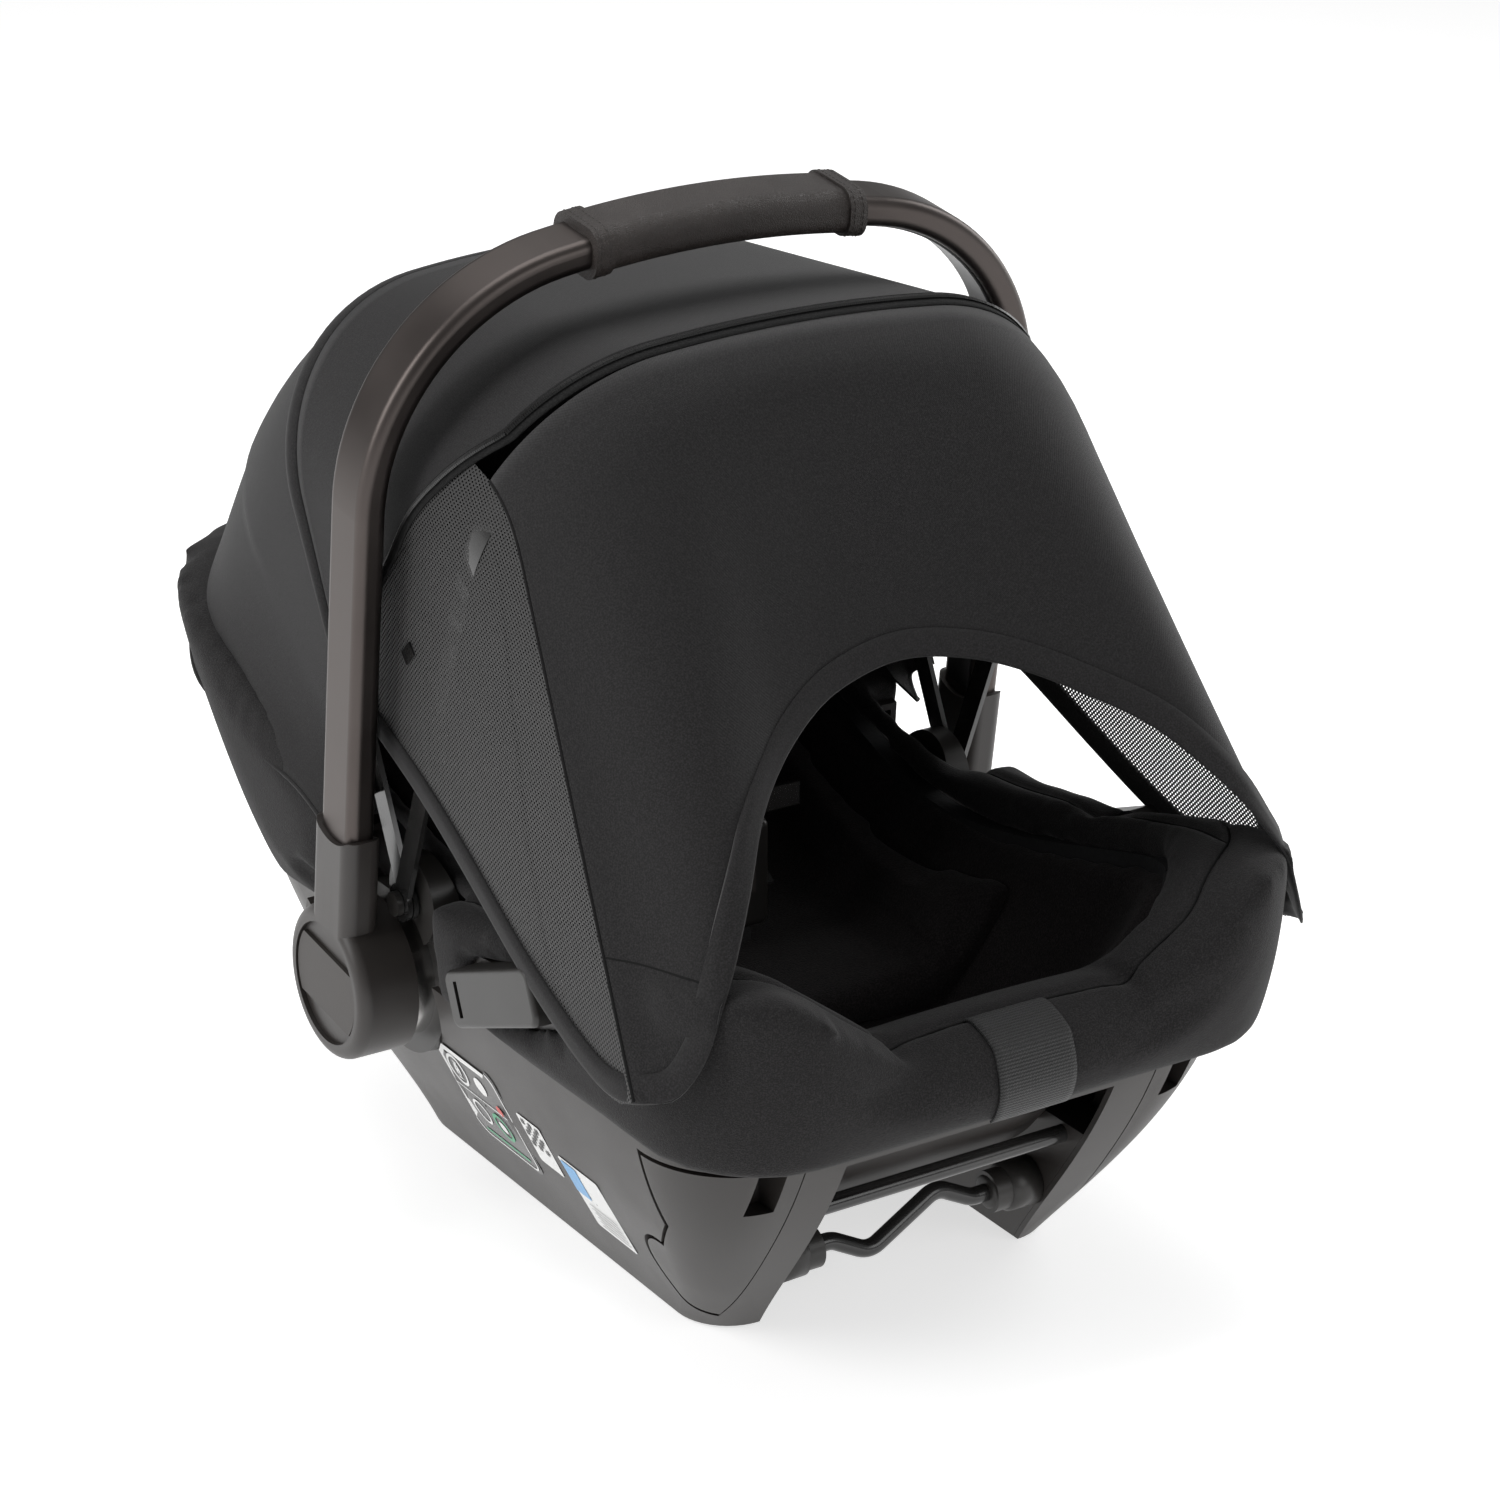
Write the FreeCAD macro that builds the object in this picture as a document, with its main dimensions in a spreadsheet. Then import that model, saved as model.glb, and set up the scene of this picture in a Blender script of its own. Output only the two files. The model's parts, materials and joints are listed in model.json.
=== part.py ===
import FreeCAD, Part
import math
import os
import Sketcher
from FreeCAD import Placement, Rotation, Vector

# Infant car seat. Millimetres, +Z up, -Y towards the child's feet, +Y towards the head,
# origin on the floor under the middle of the seat. Left pieces lie on the -X side.

SIZES = {
    # Sloped outer shell: six level outlines, each with its height, half width, reach towards
    # the feet, reach towards the head, and corner radius at the head and at the feet (toe).
    "shell_floor_up": 2, "shell_floor_half": 118, "shell_floor_front": 218,
    "shell_floor_rear": 128, "shell_floor_corner": 52, "shell_floor_toe": 32,
    "shell_waist_up": 75, "shell_waist_half": 154, "shell_waist_front": 268,
    "shell_waist_rear": 172, "shell_waist_corner": 72, "shell_waist_toe": 38,
    "shell_belly_up": 150, "shell_belly_half": 180, "shell_belly_front": 308,
    "shell_belly_rear": 222, "shell_belly_corner": 92, "shell_belly_toe": 58,
    "shell_shoulder_up": 215, "shell_shoulder_half": 187, "shell_shoulder_front": 325,
    "shell_shoulder_rear": 272, "shell_shoulder_corner": 100, "shell_shoulder_toe": 64,
    "shell_collar_up": 285, "shell_collar_half": 188, "shell_collar_front": 329,
    "shell_collar_rear": 326, "shell_collar_corner": 106, "shell_collar_toe": 62,
    "shell_crest_up": 352, "shell_crest_half": 188, "shell_crest_front": 330,
    "shell_crest_rear": 344, "shell_crest_corner": 108, "shell_crest_toe": 62,
    "shell_wall": 4,
    # The well the child lies in, as four level outlines.
    "well_floor_up": 100, "well_floor_half": 92, "well_floor_front": 230,
    "well_floor_rear": 30, "well_floor_corner": 45, "well_floor_toe": 45,
    "well_low_up": 150, "well_low_half": 128, "well_low_front": 268,
    "well_low_rear": 105, "well_low_corner": 62, "well_low_toe": 62,
    "well_mid_up": 215, "well_mid_half": 150, "well_mid_front": 296,
    "well_mid_rear": 185, "well_mid_corner": 78, "well_mid_toe": 72,
    "well_crest_up": 352, "well_crest_half": 152, "well_crest_front": 302,
    "well_crest_rear": 310, "well_crest_corner": 95, "well_crest_toe": 84,
    "foam_thick": 12, "bucket_wall": 4, "pad_thick": 14, "insert_thick": 22,
    # Rim line of the shell seen from the side, as heights at five stations.
    "rim_front_up": 234, "rim_corner_up": 236, "rim_dip_up": 194,
    "rim_rise_up": 236, "rim_head_up": 294,
    "rim_corner_at": -280, "rim_dip_at": -45, "rim_rise_at": 110, "rim_head_at": 400,
    # Padded rim of the cover, and the lower place in it at the feet.
    "cover_side": 7.5, "cover_front_roll": 25, "cover_rear_roll": 8, "cover_rise": 17,
    "cover_hem_up": 152, "foot_dip_up": 185, "foot_dip_half": 74, "foot_dip_run": 150,
    # Rocker rails under the shell, the gap between them and their rubber pads.
    "rail_inner_half": 86, "rail_top_up": 92, "rail_wall": 3, "gap_rear": -150,
    "gap_top_up": 132, "pad_long": 70, "pad_wide": 18, "pad_tall": 2,
    # Handle.
    "hub_at": 22, "hub_up": 142.6, "handle_lean": 7.95, "handle_half": 217, "handle_reach": 434,
    "handle_crown": 600, "handle_corner": 138, "tube_broad": 36, "tube_thick": 17,
    "tube_start": 48, "strip_broad": 20, "strip_thick": 1.2, "grip_half": 74,
    "grip_broad": 43, "grip_thick": 25, "ring_long": 11, "ring_proud": 1.6,
    "socket_top": 98, "socket_broad": 42, "socket_thick": 23,
    "hub_radius": 45, "hub_inner": 184.5, "hub_outer": 220, "hub_edge": 7,
    "dish_radius": 35.5, "dish_deep": 3, "button_half_tall": 19, "button_radius": 34,
    "button_thick": 7, "button_travel": 6, "slide_gap": 0.4,
    "pin_radius": 8, "running_gap": 0.05, "ratchet_radius": 40, "ratchet_inner": 171.5,
    "bracket_inner": 146, "recess_radius": 51.5,
    # Canopy, round a cross axis above the hubs.
    "canopy_at": -8, "canopy_up": 195, "canopy_half": 190, "canopy_radius": 350,
    "canopy_crown": 700, "canopy_corner": 118, "cloth_thick": 2, "bow_thick": 3,
    "bow_broad": 14, "stack_gap": 0.7, "front_bow_tilt": 21.8, "rear_bow_tilt": -25,
    "dome_sweep": 60, "dome_hole": 110, "mount_inner": 163.5, "mount_outer": 179.5,
    "stub_radius": 4, "bow_eye": 11,
    # Drape that hangs from the front bow to two side tips.
    "tip_half": 211, "tip_at": -308, "tip_up": 206, "hem_at": -244, "hem_up": 366,
    "hem_corner": 130, "zip_low_at": 2, "zip_low_up": 300, "zip_high_at": -100, "zip_high_up": 398,
    "zip_rest": 56,
    # Fold-out anchor arms at the front corners of the rails.
    "arm_pivot_at": -227, "arm_pivot_up": 44, "arm_inner": 113, "arm_back_at": -249,
    "arm_top_up": 142, "arm_gap": 0.8, "arm_eye": 29, "bar_radius": 5, "upper_bar_at": -256,
    "latch_slot_in": 124, "latch_slot_out": 140, "latch_slot_up": 112, "latch_slot_at": 276,
    "upper_bar_up": 85, "bush_radius": 12, "bush_inner": 57, "bar_bend": 11,
    # Belt guides, release tabs.
    "guide_long": 98, "guide_tall": 32, "guide_inner": 187, "guide_outer": 206,
    "guide_at": -142, "guide_up": 194, "guide_tilt": -22, "guide_slot": 4, "guide_round": 3,
    "tab_at": 76, "tab_up": 118, "tab_tall": 46, "tab_broad": 17, "tab_thick": 11,
    "tab_outer": 196, "tab_travel": 7,
    # Harness.
    "strap_wide": 25, "strap_thick": 2, "strap_apart": 36, "web_wide": 48,
    "buckle_round": 6, "clip_round": 3.5,
    "buckle_wide": 44, "buckle_tall": 66, "buckle_thick": 20, "press_side": 22,
    "press_thick": 8, "press_travel": 4,
}

doc = FreeCAD.newDocument("InfantCarSeat")
sheet = doc.addObject("Spreadsheet::Sheet", "Sizes")
for row, (alias, number) in enumerate(SIZES.items(), start=1):
    sheet.set(f"A{row}", alias)
    sheet.set(f"B{row}", str(number))
    sheet.setAlias(f"B{row}", alias)
doc.recompute()


class Size:
    """A size with its number and the sheet formula that gives it, kept in step."""

    def __init__(self, number, formula):
        self.number = float(number)
        self.formula = formula

    def join(self, other, sign, number):
        text = other.formula if isinstance(other, Size) else repr(other)
        return Size(number, f"({self.formula} {sign} {text})")

    def __add__(self, other):
        return self.join(other, "+", self.number + plain(other))

    def __sub__(self, other):
        return self.join(other, "-", self.number - plain(other))

    def __mul__(self, other):
        return self.join(other, "*", self.number * plain(other))

    def __truediv__(self, other):
        return self.join(other, "/", self.number / plain(other))

    def __radd__(self, other):
        return Size(other, repr(other)) + self

    def __rsub__(self, other):
        return Size(other, repr(other)) - self

    def __neg__(self):
        return Size(-self.number, f"(0 - {self.formula})")


def plain(value):
    """The number of a Size or of a bare number."""
    return value.number if isinstance(value, Size) else float(value)


class Sheet:
    """Gives every alias of the sheet as a Size."""

    def __getattr__(self, alias):
        return Size(sheet.get(alias), f"Sizes.{alias}")


s = Sheet()
nodes = []


def node(thing):
    """Marks an object as a sub-part that is written out under its Label."""
    nodes.append(thing)
    return thing


def bind(thing, name, value):
    if isinstance(value, Size):
        thing.setExpression(name, value.formula)


def move(thing, x=0, y=0, z=0, axis=(1, 0, 0), turn=0):
    """Places an object, with its position and turn bound to the sheet."""
    spin = Rotation(Vector(*axis), plain(turn))
    thing.Placement = Placement(Vector(plain(x), plain(y), plain(z)), spin)
    bind(thing, "Placement.Base.x", x)
    bind(thing, "Placement.Base.y", y)
    bind(thing, "Placement.Base.z", z)
    bind(thing, "Placement.Rotation.Angle", turn)
    return thing


def box(label, low, high):
    """A block between two corners."""
    block = doc.addObject("Part::Box", label)
    for name, a, b in zip(("Length", "Width", "Height"), low, high):
        span = Size(0, "0") + b - a
        setattr(block, name, span.number)
        bind(block, name, span)
    return move(block, *low)


def rod(label, x, y, z, radius, length):
    """A round bar along +X that starts at x."""
    bar = doc.addObject("Part::Cylinder", label)
    bar.Radius = plain(radius)
    bar.Height = plain(length)
    bind(bar, "Radius", radius)
    bind(bar, "Height", length)
    return move(bar, x, y, z, (0, 1, 0), 90)


def cut(label, base, *tools):
    result = doc.addObject("Part::Cut", label)
    result.Base = base
    result.Tool = tools[0] if len(tools) == 1 else fuse(label + "_tools", *tools)
    return result


def fuse(label, *shapes):
    result = doc.addObject("Part::MultiFuse", label)
    result.Shapes = list(shapes)
    return result


def common(label, *shapes):
    result = doc.addObject("Part::MultiCommon", label)
    result.Shapes = list(shapes)
    return result


def group(label, *shapes):
    result = doc.addObject("Part::Compound", label)
    result.Links = list(shapes)
    return result


def mirrored(label, source):
    twin = doc.addObject("Part::Mirroring", label)
    twin.Source = source
    twin.Normal = Vector(1, 0, 0)
    twin.Base = Vector(0, 0, 0)
    return twin


def pair(left, name):
    """Registers a left piece and its mirror image as two sub-parts."""
    node(left)
    node(mirrored(name + "_right", left))


def feature(label, shape):
    thing = doc.addObject("Part::Feature", label)
    thing.Shape = shape
    return thing


def plate(label, plane, corners, thick, start=0):
    """A body padded from an outline of straight edges on an origin plane."""
    body = doc.addObject("PartDesign::Body", label)
    sketch = body.newObject("Sketcher::SketchObject", label + "_outline")
    base = next(f for f in body.Origin.OriginFeatures if f.Role == plane)
    sketch.AttachmentSupport = [(base, "")]
    sketch.MapMode = "FlatFace"
    sketch.AttachmentOffset = Placement(Vector(0, 0, plain(start)), Rotation())
    bind(sketch, "AttachmentOffset.Base.z", start)
    flat = [Vector(plain(x), plain(y), 0) for x, y in corners]
    for index, point in enumerate(flat):
        sketch.addGeometry(Part.LineSegment(point, flat[(index + 1) % len(flat)]))
    for index in range(len(flat)):
        following = (index + 1) % len(flat)
        sketch.addConstraint(Sketcher.Constraint("Coincident", index, 2, following, 1))
    for index, corner in enumerate(corners):
        for kind, value in zip(("DistanceX", "DistanceY"), corner):
            rule = sketch.addConstraint(Sketcher.Constraint(kind, -1, 1, index, 1, plain(value)))
            bind(sketch, f"Constraints[{rule}]", value)
    pad = body.newObject("PartDesign::Pad", label + "_pad")
    pad.Profile = sketch
    pad.Length = plain(thick)
    bind(pad, "Length", thick)
    return body


def rounded(label, base, radius, keep):
    """Rounds the edges of an object that keep(edge) picks."""
    doc.recompute()
    result = doc.addObject("Part::Fillet", label)
    result.Base = base
    chosen = [i for i, edge in enumerate(base.Shape.Edges, start=1) if keep(edge)]
    result.Edges = [(i, radius, radius) for i in chosen]
    return result


# ---------------------------------------------------------------- level outlines and the rim

def level_wire(up, half, front, rear, corner, toe=None):
    """A level rounded rectangle, from -front to +rear along Y; toe is the radius at -front."""
    points = []
    toe = corner if toe is None else toe
    for x, y in ((1, -1), (1, 1), (-1, 1), (-1, -1)):
        radius = toe if y < 0 else corner
        centre = Vector(x * (half - radius), y * ((front if y < 0 else rear) - radius), up)
        start = {(1, -1): -90, (1, 1): 0, (-1, 1): 90, (-1, -1): 180}[(x, y)]
        angles = [math.radians(start + turn) for turn in (0, 45, 90)]
        points.append([centre + Vector(math.cos(a), math.sin(a), 0) * radius for a in angles])
    edges = []
    for index, arc in enumerate(points):
        edges.append(Part.Arc(*arc).toShape())
        edges.append(Part.makeLine(arc[2], points[(index + 1) % 4][0]))
    return Part.Wire(edges)


LEVELS = {
    "shell": ("floor", "waist", "belly", "shoulder", "collar", "crest"),
    "well": ("floor", "low", "mid", "crest"),
}


def tub(family, side=0, front=None, rear=None, drop=0):
    """A lofted solid through a family's levels, grown sideways and to front and rear."""
    front = side if front is None else front
    rear = side if rear is None else rear
    wires = []
    for number, level in enumerate(LEVELS[family]):
        up, half, reach, back, corner, toe = (
            sheet.get(f"{family}_{level}_{what}")
            for what in ("up", "half", "front", "rear", "corner", "toe")
        )
        lowered = drop if number == 0 else 0
        wires.append(level_wire(up - lowered, half + side, reach + front, back + rear,
                                corner + side, toe + side))
    return Part.makeLoft(wires, True, False)


def below_rim(rise=0.0, low=-20.0):
    """Everything under the rim line, raised by rise, with the dip over the feet."""
    stations = [
        (-400, sheet.rim_front_up), (sheet.rim_corner_at, sheet.rim_corner_up),
        (sheet.rim_dip_at, sheet.rim_dip_up), (sheet.rim_rise_at, sheet.rim_rise_up),
        (sheet.rim_head_at, sheet.rim_head_up),
    ]
    curve = Part.BSplineCurve()
    curve.interpolate([Vector(-300, y, up + rise) for y, up in stations])
    first = Vector(-300, -400, low)
    last = Vector(-300, 400, low)
    edges = [
        curve.toShape(),
        Part.makeLine(Vector(-300, 400, stations[-1][1] + rise), last),
        Part.makeLine(last, first),
        Part.makeLine(first, Vector(-300, -400, stations[0][1] + rise)),
    ]
    solid = Part.Face(Part.Wire(edges)).extrude(Vector(600, 0, 0))
    half = sheet.foot_dip_half
    floor = sheet.foot_dip_up + rise
    slope = half + sheet.foot_dip_run
    dip = Part.makePolygon([
        Vector(-half, -420, floor), Vector(half, -420, floor), Vector(slope, -420, floor + 110),
        Vector(-slope, -420, floor + 110), Vector(-half, -420, floor),
    ])
    notch = Part.Face(dip).extrude(Vector(0, 420 - 270, 0))
    return solid.cut(notch)


def slab(x0, y0, z0, x1, y1, z1):
    return Part.makeBox(x1 - x0, y1 - y0, z1 - z0, Vector(x0, y0, z0))


def both_sides(shape):
    return shape.fuse(shape.mirror(Vector(0, 0, 0), Vector(1, 0, 0)))


def drum(y, z, radius, x0, x1):
    """A round solid along X between x0 and x1."""
    return Part.makeCylinder(radius, x1 - x0, Vector(x0, y, z), Vector(1, 0, 0))


rise = sheet.cover_rise
wall = sheet.shell_wall
hair = 0.3
rim_zone = below_rim()
hub_recess = drum(sheet.hub_at, sheet.hub_up, sheet.recess_radius + hair, sheet.bracket_inner, 240)
bow_notch = slab(sheet.mount_inner - hair, -52, 150, 240, 54, 400)
side_recess = both_sides(hub_recess.fuse(bow_notch))


def holder_block(grow):
    """Small ledge on the shell behind the hub that the release tab slides on."""
    outer = -sheet.tab_outer + sheet.tab_thick + 0.4
    return slab(outer - grow, sheet.tab_at + 1 - grow, 126 - grow,
                -168, sheet.tab_at + sheet.tab_broad - 1 + grow, 158 + grow)


tab_room = slab(-260, sheet.tab_at - 1, sheet.tab_up - 1, -178, sheet.tab_at + sheet.tab_broad + 4,
                sheet.tab_up + sheet.tab_tall + sheet.tab_travel + 1)
holder_room = both_sides(holder_block(hair).fuse(tab_room))

# ---------------------------------------------------------------- anchor arms and their room

def arm_profile(grow):
    """Side outline of an arm, grown for the room it needs in the shell."""
    back = sheet.arm_back_at + grow
    top = sheet.arm_top_up + grow
    pivot = Vector(0, sheet.arm_pivot_at, sheet.arm_pivot_up)
    points = [
        Vector(0, back, top), Vector(0, -420, top), Vector(0, -420, pivot.z),
        Vector(0, pivot.y + grow, pivot.z), Vector(0, pivot.y + grow, pivot.z + 26),
        Vector(0, back, pivot.z + 52),
    ]
    return Part.Face(Part.makePolygon(points + points[:1]))


def arm_block(grow, inner):
    start = Vector(-300, 0, 0)
    body = arm_profile(grow).extrude(Vector(300 - inner, 0, 0))
    body.translate(start)
    eye = drum(sheet.arm_pivot_at, sheet.arm_pivot_up, sheet.arm_eye + grow, -300, -inner)
    return body.fuse(eye)


arm_room = both_sides(arm_block(sheet.arm_gap + 2, sheet.arm_inner - sheet.arm_gap))
foam = sheet.foam_thick
bucket_in = foam + 0.2
bucket_out = bucket_in + sheet.bucket_wall
bucket_room = tub("well", bucket_out + 0.1, drop=bucket_out + 0.1)
arm_well = tub("well", bucket_out + sheet.arm_gap, drop=bucket_out + sheet.arm_gap)
latch_slot = slab(
    -sheet.latch_slot_out, -420, sheet.latch_slot_up, -sheet.latch_slot_in, -sheet.latch_slot_at, 200
)
arm_solid = arm_block(0, sheet.arm_inner).common(tub("shell")).cut(arm_well).cut(latch_slot)
arm_left = feature("anchor_arm_left", arm_solid)
pair(arm_left, "anchor_arm")

# ---------------------------------------------------------------- outer shell, bucket and foam
gap_low = slab(-sheet.rail_inner_half, -420, -5, sheet.rail_inner_half, sheet.gap_rear, sheet.gap_top_up)
skin = tub("shell").cut(tub("shell", -wall)).common(rim_zone)
bush_reach = sheet.arm_inner - sheet.arm_gap
bush_room = drum(sheet.arm_pivot_at, sheet.arm_pivot_up, sheet.bush_radius, -bush_reach, bush_reach)
shell = skin.cut(gap_low).cut(holder_room).cut(side_recess).cut(arm_room).cut(bush_room)
node(feature("outer_shell", shell))

hollow = tub("well", bucket_in, drop=bucket_in)
bucket = tub("well", bucket_out, drop=bucket_out).cut(hollow).common(rim_zone)
flange_zone = rim_zone.cut(below_rim(-wall))
flange = tub("shell", -wall - 0.2).cut(hollow).common(flange_zone)
bucket = bucket.fuse(flange).cut(side_recess)
node(feature("seat_bucket", bucket.removeSplitter()))
liner = tub("well", foam, drop=foam).cut(tub("well")).common(rim_zone)
node(feature("foam_liner", liner))

# ---------------------------------------------------------------- rocker rails and rubber pads
rail_room = tub("shell", -wall - 0.2)
rail_block = slab(-300, -400, 0, -sheet.rail_inner_half, 105, sheet.rail_top_up)
rail = rail_room.common(rail_block).cut(arm_room).cut(bucket_room).cut(side_recess)
hollow_room = tub("shell", -wall - 0.2 - sheet.rail_wall)
hollow_block = slab(
    -300, -185, 2 + sheet.rail_wall, -sheet.rail_inner_half - sheet.rail_wall, 100, 200
)
rail = rail.cut(hollow_room.common(hollow_block))
bar_hole = drum(sheet.upper_bar_at, sheet.upper_bar_up, sheet.bar_radius, -sheet.arm_inner, 0)
rail_left = feature("rocker_rail_left", rail.cut(bush_room).cut(bar_hole))
pair(rail_left, "rocker_rail")

pads = []
for side in (-1, 1):
    for at in (-170, 20):
        centre = side * (s.rail_inner_half.number + 16)
        low = (Size(centre, repr(centre)) - s.pad_wide / 2, at, 0)
        high = (Size(centre, repr(centre)) + s.pad_wide / 2, s.pad_long + at, s.pad_tall)
        pads.append(box(f"rubber_pad_{len(pads)}", low, high))
node(group("rail_pads", *pads))

# ---------------------------------------------------------------- cross bars
# The lower bar turns with the arms; the upper bar is fixed through the rails.

def round_path(points, radius):
    """Straight runs joined by arcs of one radius."""
    edges = []
    start = points[0]
    for before, corner, after in zip(points, points[1:], points[2:]):
        into = (corner - before).normalize()
        out = (after - corner).normalize()
        half_turn = into.getAngle(out) / 2
        run = radius * math.tan(half_turn)
        entry = corner - into * run
        leave = corner + out * run
        middle = (out - into).normalize()
        centre = corner + middle * (radius / math.cos(half_turn))
        edges.append(Part.makeLine(start, entry))
        edges.append(Part.Arc(entry, centre - middle * radius, leave).toShape())
        start = leave
    edges.append(Part.makeLine(start, points[-1]))
    return Part.Wire(edges)


def swept(path, section):
    return path.makePipeShell([section], True, True)


reach = sheet.arm_inner - 0.1
axis_y = sheet.arm_pivot_at
axis_z = sheet.arm_pivot_up
bend = sheet.bar_bend
bar_points = [
    Vector(-reach, axis_y, axis_z), Vector(-46, axis_y, axis_z), Vector(-24, axis_y - 4, axis_z - bend),
    Vector(24, axis_y + 2, axis_z + bend), Vector(46, axis_y, axis_z), Vector(reach, axis_y, axis_z),
]
section = Part.Wire(Part.Circle(bar_points[0], Vector(1, 0, 0), sheet.bar_radius).toShape())
node(feature("lower_cross_bar", swept(round_path(bar_points, 14), section)))
node(rod("upper_cross_bar", -(s.arm_inner - 0.1), s.upper_bar_at, s.upper_bar_up, s.bar_radius,
         (s.arm_inner - 0.1) * 2))
bushes = []
for side in (-1, 1):
    long_part = s.arm_inner - s.arm_gap - s.bush_inner - 0.5
    start = s.bush_inner if side > 0 else -(s.bush_inner + long_part)
    sleeve = rod(f"bush_sleeve_{side}", start, s.arm_pivot_at, s.arm_pivot_up, s.bush_radius, long_part)
    bore = rod(f"bush_bore_{side}", start, s.arm_pivot_at, s.arm_pivot_up,
               s.bar_radius + s.running_gap, long_part)
    bushes.append(cut(f"bush_{side}", sleeve, bore))
node(group("bar_bushings", *bushes))

# ---------------------------------------------------------------- hubs, ratchets and brackets

def arch_wire(half, top, crown, corner, foot, back=None):
    """Half outline of an arch in the XZ plane: legs at +-half, corner arcs and a crowned top."""
    corner_x = half - corner
    corner_z = top - crown + math.sqrt((crown - corner) ** 2 - corner_x ** 2)
    tilt = math.atan2(corner_x, corner_z - (top - crown))
    meet = Vector(crown * math.sin(tilt), 0, top - crown + crown * math.cos(tilt))
    middle = (tilt + math.pi / 2) / 2
    bulge = Vector(corner_x + corner * math.sin(middle), 0, corner_z + corner * math.cos(middle))
    leg = Vector(half, 0, corner_z)

    def other(point):
        return Vector(-point.x, 0, point.z)

    edges = [
        Part.makeLine(Vector(-half, 0, foot), other(leg)),
        Part.Arc(other(leg), other(bulge), other(meet)).toShape(),
        Part.Arc(other(meet), Vector(0, 0, top), meet).toShape(),
        Part.Arc(meet, bulge, leg).toShape(),
        Part.makeLine(leg, Vector(half, 0, foot)),
    ]
    return edges if back is None else edges[1:4]


def flat_arch(outer_sizes, inner_sizes, foot):
    """A flat U-shaped face between two arches."""
    outer = arch_wire(*outer_sizes, foot)
    inner = arch_wire(*inner_sizes, foot)
    ends = [
        Part.makeLine(outer[0].Vertexes[0].Point, inner[0].Vertexes[0].Point),
        Part.makeLine(outer[-1].Vertexes[-1].Point, inner[-1].Vertexes[-1].Point),
    ]
    return Part.Face(Part.Wire(Part.__sortEdges__(outer + inner + ends)))


def handle_arch(inset):
    """Sizes of the handle's arch, inset inwards from the tube's outer face."""
    return (sheet.handle_half - inset, sheet.handle_reach - inset,
            sheet.handle_crown - inset, sheet.handle_corner - inset)


def at_hub(shape):
    """Turns a shape built upright round the hub axis to the handle's lean."""
    shape.rotate(Vector(0, 0, 0), Vector(1, 0, 0), sheet.handle_lean)
    shape.translate(Vector(0, sheet.hub_at, sheet.hub_up))
    return shape


def rounded_section(x, z, thick, broad, radius):
    """A level rounded rectangle centred at x, thick along X and broad along Y."""
    wire = level_wire(z, thick / 2, broad / 2, broad / 2, min(radius, thick / 2 - 0.2))
    wire.translate(Vector(x, 0, 0))
    return wire


def arch_tube(inset, thick, broad, radius, foot):
    """A closed rounded bar along the handle's arch, its outer face inset from the tube's."""
    middle = inset + thick / 2
    path = Part.Wire(arch_wire(*handle_arch(middle), foot))
    return swept(path, rounded_section(-sheet.handle_half + middle, foot, thick, broad, radius))


tube_thick = sheet.tube_thick
tube = arch_tube(0, tube_thick, sheet.tube_broad, 6, sheet.tube_start)
node(feature("handle_tube", at_hub(tube.copy())))
strip_low = sheet.socket_top + 1
strip_face = flat_arch(handle_arch(tube_thick), handle_arch(tube_thick + sheet.strip_thick), strip_low)
strip_face.translate(Vector(0, -sheet.strip_broad / 2, 0))
strip = strip_face.extrude(Vector(0, sheet.strip_broad, 0))
grip_zone = slab(-sheet.grip_half, -60, 300, sheet.grip_half, 60, 600)
strip_end = sheet.grip_half + sheet.ring_long
strip = strip.cut(slab(-strip_end, -60, 300, strip_end, 60, 600))
node(feature("handle_inner_strip", at_hub(strip)))
grip_inset = -(sheet.grip_thick - tube_thick) / 2
grip_bar = arch_tube(grip_inset, sheet.grip_thick, sheet.grip_broad, 10, 200)
proud = sheet.ring_proud
ring_bar = arch_tube(grip_inset - proud, sheet.grip_thick + 2 * proud, sheet.grip_broad + 2 * proud, 11, 200)
ring_zone = slab(-sheet.grip_half - sheet.ring_long, -60, 300, -sheet.grip_half, 60, 600)
node(feature("grip_sleeve", at_hub(grip_bar.common(grip_zone).cut(tube))))
node(feature("grip_rings", at_hub(ring_bar.common(both_sides(ring_zone)).cut(tube))))

socket_inset = -(sheet.socket_thick - tube_thick) / 2
socket_bar = arch_tube(socket_inset, sheet.socket_thick, sheet.socket_broad, 8, 20)
leg_zone = slab(-260, -60, 20, -100, 60, sheet.socket_top)
dip = Part.makeCylinder(30, 200, Vector(-300, 0, sheet.socket_top + 24), Vector(1, 0, 0))
hub_disc = drum(0, 0, sheet.hub_radius, -sheet.hub_outer, -sheet.hub_inner)
rim_edges = [e for e in hub_disc.Edges if e.Closed and e.CenterOfMass.x < -sheet.hub_outer + 1]
hub_disc = hub_disc.makeFillet(sheet.hub_edge, rim_edges)
dish = drum(0, 0, sheet.dish_radius, -sheet.hub_outer - 5, -sheet.hub_outer + sheet.dish_deep)
flat = sheet.button_half_tall
clearance = sheet.slide_gap


def button_block(grow, x0, x1):
    disc = drum(0, 0, sheet.button_radius + grow, x0, x1)
    return disc.common(slab(x0 - 1, -60, -flat - grow, x1 + 1, 60, flat + grow))


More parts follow.
